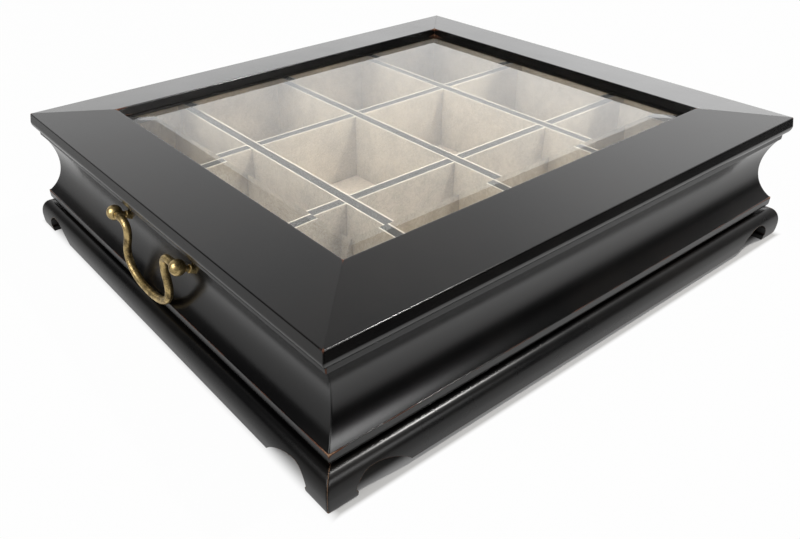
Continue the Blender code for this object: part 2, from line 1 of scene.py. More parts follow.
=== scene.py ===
"""Looks of the table-top display case: lacquered rails, bevelled glass, a suede-lined grid, brass handles.

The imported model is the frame. The wood, suede and brass that show are built again here as finer surfaces in
the same places, in metres, and the plainer nodes keep their own shape and get a finish.

Every piece built here carries two maps. The map "surface" holds the distance along the piece and the distance
round its section, in metres. The map "wear" holds how sharply the section turns, 1 at a square arris and
below 0 in a hollow, and how near the piece's end is, 1 at the end. Plain sheets leave the second map empty.
"""

from __future__ import annotations

import json
import logging
import math
from dataclasses import dataclass, field
from enum import Enum

import bmesh
import bpy
import numpy as np
from mathutils import Euler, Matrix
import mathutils

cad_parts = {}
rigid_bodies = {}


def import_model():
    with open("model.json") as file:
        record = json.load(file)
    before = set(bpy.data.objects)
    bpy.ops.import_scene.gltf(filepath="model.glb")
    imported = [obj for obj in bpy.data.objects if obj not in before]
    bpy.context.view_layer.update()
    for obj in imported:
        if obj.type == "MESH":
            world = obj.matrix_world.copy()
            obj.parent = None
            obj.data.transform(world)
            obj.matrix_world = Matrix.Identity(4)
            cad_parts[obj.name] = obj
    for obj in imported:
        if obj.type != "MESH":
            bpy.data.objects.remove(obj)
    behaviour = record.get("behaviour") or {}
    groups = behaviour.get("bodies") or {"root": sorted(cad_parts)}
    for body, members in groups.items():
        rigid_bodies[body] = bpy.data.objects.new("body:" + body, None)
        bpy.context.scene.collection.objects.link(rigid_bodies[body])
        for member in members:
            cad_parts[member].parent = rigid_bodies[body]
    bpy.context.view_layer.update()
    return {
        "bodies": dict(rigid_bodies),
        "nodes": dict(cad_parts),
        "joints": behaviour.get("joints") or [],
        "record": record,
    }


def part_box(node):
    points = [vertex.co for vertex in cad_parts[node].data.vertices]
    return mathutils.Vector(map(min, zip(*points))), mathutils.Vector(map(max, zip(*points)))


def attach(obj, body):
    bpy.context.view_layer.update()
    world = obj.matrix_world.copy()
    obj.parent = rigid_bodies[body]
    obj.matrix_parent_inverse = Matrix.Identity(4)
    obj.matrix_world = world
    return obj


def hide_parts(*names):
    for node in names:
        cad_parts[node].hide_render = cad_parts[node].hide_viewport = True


LOG = logging.getLogger("display_case")
SURFACE_MAP = "surface"
WEAR_MAP = "wear"

# Points nearer than this are one: in a new mesh, and in a mesh that was cut.
MERGE = 1e-7
WELD = 0.00002
# An edge that turns by more than this shades sharp.
CREASE = math.radians(32.0)

# Chords of a small round, of the groove at a mitre, of a corner in plan and of a sheet's edge.
FILLET_CHORDS = 6
GROOVE_CHORDS = 4
CORNER_CHORDS = 6
EDGE_CHORDS = 4
# Plain sections of each half of a rail: how many, where the first is in corner radii, and where the last is
# as a share of the half length.
PLAIN_SECTIONS = 14
FIRST_SECTION = 1.4
LAST_SECTION = 0.9
# Least share of a corner's radius, for points that do not face outwards.
LEAST_ROUND = 0.03
# Where the outline that holds a sheet's face flat stands, in edge radii.
FACE_HOLD = 1.6

Colour = tuple[float, float, float]
Vector = tuple[float, float, float]
Point = tuple[float, float]
Span = tuple[float, float]
Array = np.ndarray
Material = bpy.types.Material
Node = bpy.types.Node
Piece = bpy.types.Object
Socket = bpy.types.NodeSocket
World = bpy.types.World

WHITE: Colour = (1.0, 1.0, 1.0)


class Slot(Enum):
    """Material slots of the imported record."""

    LACQUER = "black_lacquer"
    GLASS = "clear_glass"
    SUEDE = "suede"
    BOARD = "grey_board"
    WOOD = "bare_wood"
    BRASS = "antique_brass"


class Body(Enum):
    """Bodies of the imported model."""

    CASE = "case"
    LID = "lid"
    LEFT_BAIL = "left_bail"
    RIGHT_BAIL = "right_bail"


@dataclass(frozen=True)
class Plan:
    """Sizes that several sub-assemblies share. Insets count inwards from the nose line of the lid."""

    width: float = 0.402
    depth: float = 0.359
    fit: float = 0.0003
    seam: float = 0.0004
    case_foot: float = 0.0216
    rim: float = 0.0778
    floor_top: float = 0.0241
    divider_top: float = 0.0728
    wall_inset: float = 0.0224
    fillet_inset: float = 0.0037
    lip_inset: float = 0.0006
    lining: float = 0.001
    mitre_gap: float = 0.00005
    mitre_groove: float = 0.0001

    @property
    def lid_foot(self) -> float:
        """Height of the lid's underside."""
        return self.rim + self.seam

    @property
    def lined_inset(self) -> float:
        """Inset of the lined face of the walls."""
        return self.wall_inset + self.fit + self.lining


PLAN = Plan()


class Side(Enum):
    """The four sides of the case, each with its turn about the vertical."""

    FRONT = 0.0
    RIGHT = math.pi / 2
    BACK = math.pi
    LEFT = -math.pi / 2

    @property
    def label(self) -> str:
        """Name of the side as the nodes use it."""
        return self.name.lower()

    @property
    def length(self) -> float:
        """Length of the lid along this side."""
        return PLAN.width if self in (Side.FRONT, Side.BACK) else PLAN.depth

    @property
    def reach(self) -> float:
        """Distance from the middle of the case to the lid's nose line on this side."""
        return (PLAN.depth if self in (Side.FRONT, Side.BACK) else PLAN.width) / 2

    def place(self, inset: Array, along: Array, height: Array) -> Array:
        """Turns inset, distance along the side and height into points.

        Args:
            inset: distances inwards from the nose line.
            along: distances along the side from its middle.
            height: heights above the floor.

        Returns:
            Points in the last axis of an array of the broadcast shape.
        """
        inset, along, height = np.broadcast_arrays(inset, along, height)
        out = self.reach - inset
        sine, cosine = math.sin(self.value), math.cos(self.value)
        return np.stack([out * sine + along * cosine, along * sine - out * cosine, height], axis=-1)


def quarter(start: Point, end: Point, upright_start: bool, steps: int = 16) -> Array:
    """A quarter of an ellipse: its axes are the run and the rise, and it leaves start upright or level.

    Args:
        start: first point, (inset, height).
        end: last point.
        upright_start: True if the curve is upright at the start and level at the end.
        steps: number of chords.

    Returns:
        Points of the curve, one a row.
    """
    angle = np.linspace(0.0, math.pi / 2, steps + 1)
    run, rise = end[0] - start[0], end[1] - start[1]
    if upright_start:
        return np.stack([end[0] - run * np.cos(angle), start[1] + rise * np.sin(angle)], axis=1)
    return np.stack([start[0] + run * np.sin(angle), end[1] - rise * np.cos(angle)], axis=1)


def arc(start: Point, end: Point, sagitta: float, steps: int) -> Array:
    """A circular arc that stands off its chord, to the left of it, by the sagitta.

    Args:
        start: first point.
        end: last point.
        sagitta: height of the arc over its chord, below zero for the right-hand side.
        steps: number of chords.

    Returns:
        Points of the arc, one a row.
    """
    first, last = np.array(start), np.array(end)
    chord = last - first
    span = np.linalg.norm(chord)
    ahead = chord / span
    left = np.array([-ahead[1], ahead[0]])
    radius = (span**2 / 4 + sagitta**2) / (2 * sagitta)
    half = math.asin(span / 2 / radius)
    angle = np.linspace(-half, half, steps + 1)[:, None]
    centre = (first + last) / 2 + left * (sagitta - radius)
    return centre + radius * (left * np.cos(angle) + ahead * np.sin(angle))


def fillet(before: Point, corner: Point, after: Point, radius: float) -> Array:
    """A round of the given radius on a corner, tangent to the two lines that meet there.

    Args:
        before: point on the line into the corner.
        corner: the corner.
        after: point on the line out of the corner.
        radius: radius of the round.

    Returns:
        Points of the round, one a row.
    """
    middle = np.array(corner)
    first = np.array(before) - middle
    second = np.array(after) - middle
    first, second = first / np.linalg.norm(first), second / np.linalg.norm(second)
    half = math.acos(float(first @ second)) / 2
    reach = radius / math.tan(half)
    start, end = middle + first * reach, middle + second * reach
    cross = (end - start)[0] * (middle - start)[1] - (end - start)[1] * (middle - start)[0]
    sagitta = math.copysign(radius * (1 - math.sin(half)), cross)
    return arc(tuple(start), tuple(end), sagitta, FILLET_CHORDS)


def left_normals(points: Array) -> Array:
    """Left-hand unit normals of a closed outline's chords, each from a point to the next.

    Args:
        points: the outline, one point a row.

    Returns:
        One normal for each point.
    """
    step = np.roll(points, -1, axis=0) - points
    step = step / np.linalg.norm(step, axis=1)[:, None]
    return np.stack([-step[:, 1], step[:, 0]], axis=1)


@dataclass
class Profile:
    """A closed section, clockwise in (inset, height), with extra points on its long straights.

    Attributes:
        corners: the section's own points, one a row.
        guard: distance from a corner at which a straight gets a holding point, so that it shades flat.
        longest: longest straight left between two points.
    """

    corners: Array
    guard: float = 0.0003
    longest: float = 0.004
    stations: Array = field(init=False)
    points: Array = field(init=False)

    def __post_init__(self) -> None:
        """Finds the stations round the section and the points there."""
        length = np.linalg.norm(self.chords, axis=1)
        start = np.concatenate([[0.0], np.cumsum(length)])
        long = length > 4 * self.guard
        count = np.floor(length / self.longest).astype(int)
        owner = np.repeat(np.arange(len(length)), count)
        rank = np.arange(len(owner)) - np.repeat(np.cumsum(count) - count, count) + 1
        inner = start[owner] + length[owner] * rank / (count[owner] + 1)
        guards = np.concatenate([start[:-1][long] + self.guard, start[1:][long] - self.guard])
        self.stations = np.unique(np.concatenate([start[:-1], guards, inner]).round(8))
        closed = np.vstack([self.corners, self.corners[:1]])
        self.points = np.stack([np.interp(self.stations, start, axis) for axis in closed.T], axis=1)

    @property
    def chords(self) -> Array:
        """From each corner to the next."""
        return np.roll(self.corners, -1, axis=0) - self.corners

    @property
    def length(self) -> float:
        """Length round the section."""
        return float(np.linalg.norm(self.chords, axis=1).sum())

    def normals(self) -> Array:
        """Outward normals: the mean of the left-hand normals of the two chords that meet at a point.

        Returns:
            One unit normal for each point.
        """
        left = left_normals(self.points)
        mean = left + np.roll(left, 1, axis=0)
        return mean / np.linalg.norm(mean, axis=1)[:, None]

    def turning(self, window: float = 0.0016) -> Array:
        """How far the section turns within a window round each point, as a share of a right angle.

        The turn is the sum of the corner angles between the two ends of the window, averaged over four
        windows so that it fades with distance. It is above zero on an arris and below zero in a hollow.

        Args:
            window: half width of the widest window.

        Returns:
            One value for each point.
        """
        step = self.chords
        before = np.roll(step, 1, axis=0)
        cross = before[:, 0] * step[:, 1] - before[:, 1] * step[:, 0]
        turn = -np.arctan2(cross, (before * step).sum(axis=1))
        at = np.concatenate([[0.0], np.cumsum(np.linalg.norm(step, axis=1))])[:-1]
        at = np.concatenate([at - self.length, at, at + self.length])
        total = np.concatenate([[0.0], np.cumsum(np.tile(turn, 3))])
        found = np.zeros(len(self.stations))
        shares = (0.25, 0.5, 0.75, 1.0)
        for share in shares:
            reach = window * share
            found += total[np.searchsorted(at, self.stations + reach, side="right")]
            found -= total[np.searchsorted(at, self.stations - reach, side="left")]
        return found / len(shares) / (math.pi / 2)


def settle(mesh: bpy.types.Mesh, weld: float, was_cut: bool) -> None:
    """Joins points that are nearer than the weld, and shades the mesh smooth between its creases.

    Args:
        mesh: the mesh.
        weld: the distance.
        was_cut: True to split faces of many corners, so that no sliver folds over, and False to turn the
            faces outwards.
    """
    shape = bmesh.new()
    shape.from_mesh(mesh)
    bmesh.ops.remove_doubles(shape, verts=shape.verts, dist=weld)
    if was_cut:
        bmesh.ops.triangulate(shape, faces=[face for face in shape.faces if len(face.verts) > 4])
    else:
        bmesh.ops.recalc_face_normals(shape, faces=shape.faces)
    shape.to_mesh(mesh)
    shape.free()
    mesh.shade_smooth()
    mesh.set_sharp_from_angle(angle=CREASE)


@dataclass
class Surface:
    """A mesh as arrays, before it becomes an object.

    Attributes:
        points: positions, one a row.
        quads: point numbers of the four-sided faces.
        maps: for each map's name, two values for every corner of every quad.
        caps: point numbers of the faces that close the ends.
    """

    points: Array
    quads: Array
    maps: dict[str, Array]
    caps: list[Array]

    @classmethod
    def from_grid(cls, grid: Array, surface: Array, wear: Array, capped: bool = True) -> Surface:
        """Joins a grid of points into faces. Each section closes on itself.

        Args:
            grid: points, of shape (sections, round, 3).
            surface: values of the surface map, of shape (sections, round + 1, 2).
            wear: values of the wear map, of the same shape.
            capped: True if the first and the last section are closed with a face.

        Returns:
            The surface.
        """
        sections, around = grid.shape[:2]
        first, second = np.meshgrid(np.arange(sections - 1), np.arange(around), indexing="ij")
        row = first.reshape(-1, 1) + np.array([0, 1, 1, 0])
        column = second.reshape(-1, 1) + np.array([0, 0, 1, 1])
        quads = row * around + column % around
        maps = {SURFACE_MAP: surface[row, column], WEAR_MAP: wear[row, column]}
        caps = [np.arange(around), (sections - 1) * around + np.arange(around)[::-1]] if capped else []
        return cls(grid.reshape(-1, 3), quads, maps, caps)

    @classmethod
    def plain(cls, grid: Array) -> Surface:
        """Joins a grid whose wear map is empty. Its surface map is the distance along it and round it.

        Args:
            grid: points, of shape (sections, round, 3).

        Returns:
            The surface, closed at both ends.
        """
        closed = np.concatenate([grid, grid[:, :1]], axis=1)
        around = np.linalg.norm(np.diff(closed, axis=1), axis=2).cumsum(axis=1)
        around = np.concatenate([np.zeros((len(grid), 1)), around], axis=1)
        middle = grid.mean(axis=1)
        along = np.concatenate([[0.0], np.linalg.norm(np.diff(middle, axis=0), axis=1).cumsum()])
        surface = np.stack([np.broadcast_to(along[:, None], around.shape), around], axis=-1)
        return cls.from_grid(grid, surface, np.zeros_like(surface))

    @classmethod
    def joined(cls, surfaces: list[Surface]) -> Surface:
        """Puts several surfaces into one, as separate shells.

        Args:
            surfaces: the surfaces.

        Returns:
            The one surface.
        """
        shift = np.cumsum([0] + [len(s.points) for s in surfaces[:-1]])
        return cls(
            np.vstack([s.points for s in surfaces]),
            np.vstack([s.quads + n for s, n in zip(surfaces, shift)]),
            {key: np.concatenate([s.maps[key] for s in surfaces]) for key in (SURFACE_MAP, WEAR_MAP)},
            [cap + n for s, n in zip(surfaces, shift) for cap in s.caps],
        )

    def to_object(self, name: str) -> Piece:
        """Makes a smooth-shaded object with its place in its mesh.

        Args:
            name: name of the object.

        Returns:
            The new object, with doubled points merged and faces turned outwards.
        """
        mesh = bpy.data.meshes.new(name)
        loops = np.concatenate([self.quads.ravel(), *self.caps]).astype(np.int32)
        corners = [np.full(len(self.quads), 4), [len(cap) for cap in self.caps]]
        sizes = np.concatenate(corners).astype(np.int32)
        mesh.vertices.add(len(self.points))
        mesh.vertices.foreach_set("co", self.points.astype(np.float32).ravel())
        mesh.loops.add(len(loops))
        mesh.loops.foreach_set("vertex_index", loops)
        mesh.polygons.add(len(sizes))
        mesh.polygons.foreach_set("loop_start", (np.cumsum(sizes) - sizes).astype(np.int32))
        mesh.update(calc_edges=True)
        for key, values in self.maps.items():
            flat = np.zeros((len(loops), 2), np.float32)
            flat[: self.quads.size] = values.reshape(-1, 2)
            mesh.uv_layers.new(name=key).data.foreach_set("uv", flat.ravel())
        settle(mesh, MERGE, was_cut=False)
        obj = bpy.data.objects.new(name, mesh)
        bpy.context.scene.collection.objects.link(obj)
        return obj


def prism(outline: Array, low: float, high: float) -> Surface:
    """An upright prism: its outline in X and Y at the one height and at the other."""
    grid = np.stack([np.column_stack([outline, np.full(len(outline), z)]) for z in (low, high)])
    return Surface.plain(grid)


def turned(profile: Array, centre: Vector, axis: Array, steps: int = 48) -> Surface:
    """A solid of revolution: each (radius, height) point of the profile goes once round the axis.

    Args:
        profile: points from one end to the other, radius and height along the axis.
        centre: the axis's own zero height.
        axis: unit vector along the axis.
        steps: number of points in a turn.

    Returns:
        The surface, with its ends closed where the radius is zero.
    """
    side = np.cross(axis, [0.0, 0.0, 1.0] if abs(axis[2]) < 0.9 else [1.0, 0.0, 0.0])
    side = side / np.linalg.norm(side)
    other = np.cross(axis, side)
    angle = np.linspace(0.0, 2 * math.pi, steps, endpoint=False)
    spoke = np.cos(angle)[:, None] * side + np.sin(angle)[:, None] * other
    grid = np.array(centre) + profile[:, :1, None] * spoke + profile[:, 1:, None] * axis
    step = np.diff(profile, axis=0)
    length = np.concatenate([[0.0], np.linalg.norm(step, axis=1).cumsum()])
    around = np.linspace(0.0, 1.0, steps + 1) * 2 * math.pi * profile[:, :1].max()
    surface = np.stack(np.broadcast_arrays(length[:, None], around), axis=-1)
    heading = np.unwrap(np.arctan2(step[:, 1], step[:, 0]))
    heading = np.concatenate([heading[:1], (heading[1:] + heading[:-1]) / 2, heading[-1:]])
    wear = np.zeros(surface.shape)
    wear[..., 0] = np.clip(np.abs(np.gradient(heading)) / (math.pi / 2), 0.0, 1.0)[:, None]
    return Surface.from_grid(grid, surface, wear, capped=bool(profile[0, 0] > 0))


def rod(radius: float, ends: Span, centre: Vector, axis: Array, steps: int = 48) -> Surface:
    """A plain round rod between two heights along its axis.

    Args:
        radius: its radius.
        ends: heights of its ends along the axis.
        centre: the axis's own zero height.
        axis: unit vector along the axis.
        steps: number of points in a turn.

    Returns:
        The surface.
    """
    low, high = ends
    return turned(np.array([(0.0, low), (radius, low), (radius, high), (0.0, high)]), centre, axis, steps)


def carve(obj: Piece, tools: list[Piece]) -> Piece:
    """Cuts tool shapes out of a piece, keeps the result in its mesh and removes the tools.

    Args:
        obj: the piece.
        tools: closed shapes to take away.

    Returns:
        The piece.
    """
    for tool in tools:
        cut = obj.modifiers.new(tool.name, "BOOLEAN")
        cut.operation = "DIFFERENCE"
        cut.solver = "EXACT"
        cut.object = tool
    depsgraph = bpy.context.evaluated_depsgraph_get()
    mesh = bpy.data.meshes.new_from_object(obj.evaluated_get(depsgraph), depsgraph=depsgraph)
    obj.modifiers.clear()
    obj.data = mesh
    settle(mesh, WELD, was_cut=True)
    for tool in tools:
        bpy.data.objects.remove(tool, do_unlink=True)
    return obj


@dataclass(frozen=True)
class Wear:
    """How far a rail is rubbed through.

    Attributes:
        arris: for the arrises of the section, the whole of it or each of its points.
        corner: for the upright corners.
        mitre: for the fine line at the joint.
        corner_fade: distance over which a corner's wear fades, in corner radii.
        mitre_fade: distance over which a joint's wear fades.
        end_fade: distance over which the nearness of an end fades.
    """

    arris: float | Array
    corner: float
    mitre: float
    corner_fade: float = 1.3
    mitre_fade: float = 0.0003
    end_fade: float = 0.012


def mitred_rail(profile: Profile, side: Side, foot: float, corner: float, wear: Wear) -> Surface:
    """A section carried along one side, from mitre to mitre.

    A point at inset s ends where its distance along the side is half the side's length less s. At the joint
    the section draws in along its normals as a small quarter round, which leaves a fine line. Then the corner
    is rounded in plan: at an angle a from the face, a point stands R (1 - sin a) back and R (1 - cos a) in,
    where R is the corner's radius times the outward share of the point's normal. The other sections stand at
    set distances from the mitre.

    Args:
        profile: the section in inset and height.
        side: the side that it runs along.
        foot: height of the section's zero.
        corner: radius of the rounded corner in plan.
        wear: how far the rail is rubbed through.

    Returns:
        The rail.
    """
    inset, height = profile.points.T
    normal = profile.normals()
    outward = np.maximum(-normal[:, 0], 0.0)
    half = side.length / 2 - inset - PLAN.mitre_gap
    radius = corner * np.maximum(outward, LEAST_ROUND)
    groove = PLAN.mitre_groove
    step = groove * (1 - np.cos(np.linspace(0.0, math.pi / 2, GROOVE_CHORDS + 1)))[:-1, None]
    bend = np.linspace(math.pi / 4, 0.0, CORNER_CHORDS + 1)
    angle = np.concatenate([np.full(len(step), math.pi / 4), bend])[:, None]
    shift = np.concatenate([step, np.full((len(bend), 1), groove)])
    plain = groove + np.geomspace(FIRST_SECTION * corner, half.min() * LAST_SECTION, PLAIN_SECTIONS)
    far = np.broadcast_to(plain[:, None], (len(plain), len(inset)))
    back = np.vstack([shift + radius * (1 - np.sin(angle)), far])
    drawn = np.vstack([radius * (1 - np.cos(angle)), np.zeros_like(far)])
    fall = np.zeros((len(back), 1))
    fall[: len(step)] = groove - np.sqrt(groove**2 - (groove - step) ** 2)
    back, drawn, fall = (np.vstack([rows, rows[::-1]]) for rows in (back, drawn, fall))
    sign = np.repeat([-1.0, 1.0], len(back) // 2)[:, None]
    along = sign * (half - back)
    grid = side.place(inset + drawn - normal[:, 0] * fall, along, foot + height - normal[:, 1] * fall)
    rub = profile.turning() * wear.arris
    rub = rub + wear.corner * outward * np.exp(-back / (wear.corner_fade * corner))
    rub = rub + wear.mitre * np.exp(-back / wear.mitre_fade)
    station = np.append(profile.stations, profile.length)
    along, rub, back = (np.concatenate([rows, rows[:, :1]], axis=1) for rows in (along, rub, back))
    surface = np.stack(np.broadcast_arrays(along, station), axis=-1)
    return Surface.from_grid(grid, surface, np.stack([rub, np.exp(-back / wear.end_fade)], axis=-1))


def eased_sheet(outline: Array, thick: float, ease: float) -> Array:
    """A flat sheet with rounded edges: its outline carried across its thickness.

    Near each face the outline draws in along its mitred normals as a quarter round of the easing radius. One
    more outline in the plane of each face holds the face flat.

    Args:
        outline: corners of the sheet, clockwise in (along, up).
        thick: thickness of the sheet.
        ease: radius of its edges.

    Returns:
        Along, across and up for every point, of shape (outlines, corners, 3).
    """
    left = left_normals(outline)
    before = np.roll(left, 1, axis=0)
    out = (left + before) / (1 + (left * before).sum(axis=1))[:, None]
    angle = np.linspace(0.0, math.pi / 2, EDGE_CHORDS + 1)
    drawn = np.concatenate([[FACE_HOLD * ease], ease * (1 - np.sin(angle))])
    across = np.concatenate([[-thick / 2], ease * (1 - np.cos(angle)) - thick / 2])
    drawn, across = np.concatenate([drawn, drawn[::-1]]), np.concatenate([across, -across[::-1]])
    flat = outline - drawn[:, None, None] * out
    return np.stack(np.broadcast_arrays(flat[..., 0], across[:, None], flat[..., 1]), axis=-1)


class NodeSheet:
    """Adds shader nodes to one material, or to the world, and joins them."""

    def __init__(self, owner: Material | World) -> None:
        """Starts with no nodes.

        Args:
            owner: the new material or world.
        """
        self.owner = owner
        owner.use_nodes = True
        self.tree = owner.node_tree
        self.tree.nodes.clear()

    def feed(self, socket: Socket, value: object) -> None:
        """Links a socket to another, or sets its value. A colour is set as opaque.

        Args:
            socket: the input.
            value: an output to link it to, or its value.
        """
        if isinstance(value, Socket):
            self.tree.links.new(value, socket)
        elif socket.type == "RGBA":
            socket.default_value = (*value, 1.0)
        else:
            socket.default_value = value

    def add(self, kind: str, inputs: dict | None = None, **settings: object) -> Node:
        """Adds a node.

        Args:
            kind: the node's type.
            inputs: values or sockets for its inputs, by name or number.
            **settings: the node's own settings.

        Returns:
            The node.
        """
        node = self.tree.nodes.new(kind)
        for key, value in settings.items():
            setattr(node, key, value)
        for key, value in (inputs or {}).items():
            self.feed(node.inputs[key], value)
        return node

    def math(self, operation: str, first: object, second: object = 0.0) -> Socket:
        """Works out one sum on two numbers."""
        return self.add("ShaderNodeMath", {0: first, 1: second}, operation=operation).outputs[0]

    def times(self, first: object, *others: object) -> Socket:
        """Multiplies numbers.

        Args:
            first: a number.
            *others: the numbers to multiply it by.

        Returns:
            The product.
        """
        for other in others:
            first = self.math("MULTIPLY", first, other)
        return first

    def total(self, *terms: tuple[object, float]) -> Socket:
        """Adds up values, each times its weight.

        Args:
            *terms: values and weights.

        Returns:
            The sum.
        """
        found = 0.0
        for value, weight in terms:
            inputs = {0: value, 1: weight, 2: found}
            found = self.add("ShaderNodeMath", inputs, operation="MULTIPLY_ADD").outputs[0]
        return found

    def highest(self, first: object, *others: object) -> Socket:
        """The highest of several numbers.

        Args:
            first: a number.
            *others: the numbers to hold it against.

        Returns:
            The highest.
        """
        for other in others:
            first = self.math("MAXIMUM", first, other)
        return first

    def between(self, value: object, low: float, high: float) -> Socket:
        """Rises smoothly from 0 at low to 1 at high."""
        inputs = {0: value, 1: low, 2: high}
        return self.add("ShaderNodeMapRange", inputs, interpolation_type="SMOOTHSTEP").outputs[0]

    def span(self, value: object, low: float, high: float) -> Socket:
        """Turns a share from 0 to 1 into a value from low to high."""
        return self.add("ShaderNodeMapRange", {0: value, 3: low, 4: high}).outputs[0]

    def place(self) -> Socket:
        """Object coordinates, which are the frame's own metres."""
        return self.add("ShaderNodeTexCoord").outputs["Object"]

    def read_map(self, name: str) -> Socket:
        """A map of the surface, as a vector."""
        return self.add("ShaderNodeUVMap", uv_map=name).outputs[0]

    def axes(self, vector: Socket) -> tuple[Socket, ...]:
        """The three parts of a vector."""
        return tuple(self.add("ShaderNodeSeparateXYZ", {0: vector}).outputs)

    def scaled(self, vector: Socket, scale: Vector) -> Socket:
        """Stretches coordinates along each axis."""
        return self.add("ShaderNodeMapping", {"Vector": vector, "Scale": scale}).outputs[0]

    def likeness(self, first: object, second: object) -> Socket:
        """How alike two unit vectors are: 1 if they point the same way and 0 if they are square."""
        inputs = {0: first, 1: second}
        return self.add("ShaderNodeVectorMath", inputs, operation="DOT_PRODUCT").outputs["Value"]

    def noise(self, vector: Socket, scale: float, detail: float = 3.0, rough: float = 0.55) -> Socket:
        """Soft noise from 0 to 1, with so many lumps to the metre."""
        inputs = {"Vector": vector, "Scale": scale, "Detail": detail, "Roughness": rough}
        return self.add("ShaderNodeTexNoise", inputs).outputs[0]

    def specks(self, vector: Socket, pitch: float, size: float, share: float, least: float = 0.4) -> Socket:
        """Scattered round specks: near a cell's point, in the share of cells whose random value is high.

        Args:
            vector: coordinates in metres.
            pitch: distance between cells.
            size: radius of the largest speck.
            share: share of cells that hold one.
            least: the smallest speck's share of that radius.

        Returns:
            1 in a speck and 0 elsewhere.
        """
        cell = self.add("ShaderNodeTexVoronoi", {"Vector": vector, "Scale": 1.0 / pitch}, feature="F1")
        parts = self.add("ShaderNodeSeparateColor", {0: cell.outputs["Color"]})
        chosen = self.math("GREATER_THAN", parts.outputs[0], 1.0 - share)
        radius = self.span(parts.outputs[1], least * size / pitch, size / pitch)
        return self.times(chosen, self.math("LESS_THAN", cell.outputs["Distance"], radius))

    def mix(self, share: object, first: object, second: object) -> Socket:
        """Mixes two colours."""
        return self.add("ShaderNodeMix", {0: share, 6: first, 7: second}, data_type="RGBA").outputs[2]

    def mix_numbers(self, share: object, first: object, second: object) -> Socket:
        """Mixes two numbers."""
        return self.add("ShaderNodeMix", {0: share, 2: first, 3: second}, data_type="FLOAT").outputs[0]

    def mix_shaders(self, share: object, first: Node, second: Node) -> Node:
        """Mixes two shaders."""
        return self.add("ShaderNodeMixShader", {0: share, 1: first.outputs[0], 2: second.outputs[0]})

    def bump(self, height: Socket, depth: float, normal: Socket | None = None) -> Socket:
        """Tilts the surface by a height from 0 to 1 that stands for a depth in metres.

        Args:
            height: the height.
            depth: the depth.
            normal: a normal that is already tilted, to start from.

        Returns:
            The tilted normal.
        """
        inputs = {"Height": height, "Distance": depth, "Strength": 1.0}
        if normal is not None:
            inputs["Normal"] = normal
        return self.add("ShaderNodeBump", inputs).outputs[0]

    def finish(self, shader: Node) -> Material | World:
        """Joins a shader to the output.

        Args:
            shader: the last shader.

        Returns:
            The material or world, which is then complete.
        """
        world = isinstance(self.owner, World)
        self.add("ShaderNodeOutputWorld" if world else "ShaderNodeOutputMaterial", {0: shader.outputs[0]})
        return self.owner


@dataclass(frozen=True)
class Finish:
    """What every finish has: the name of its material, and the way to make it."""

    name: str

    def material(self) -> Material:
        """Builds the material."""
        sheet = NodeSheet(bpy.data.materials.new(self.name))
        return sheet.finish(self.paint(sheet, sheet.place()))

    def paint(self, sheet: NodeSheet, place: Socket) -> Node:
        """Adds the nodes of the finish.

        Args:
            sheet: the material's nodes.
            place: object coordinates.

        Returns:
            The shader.
        """
        raise NotImplementedError


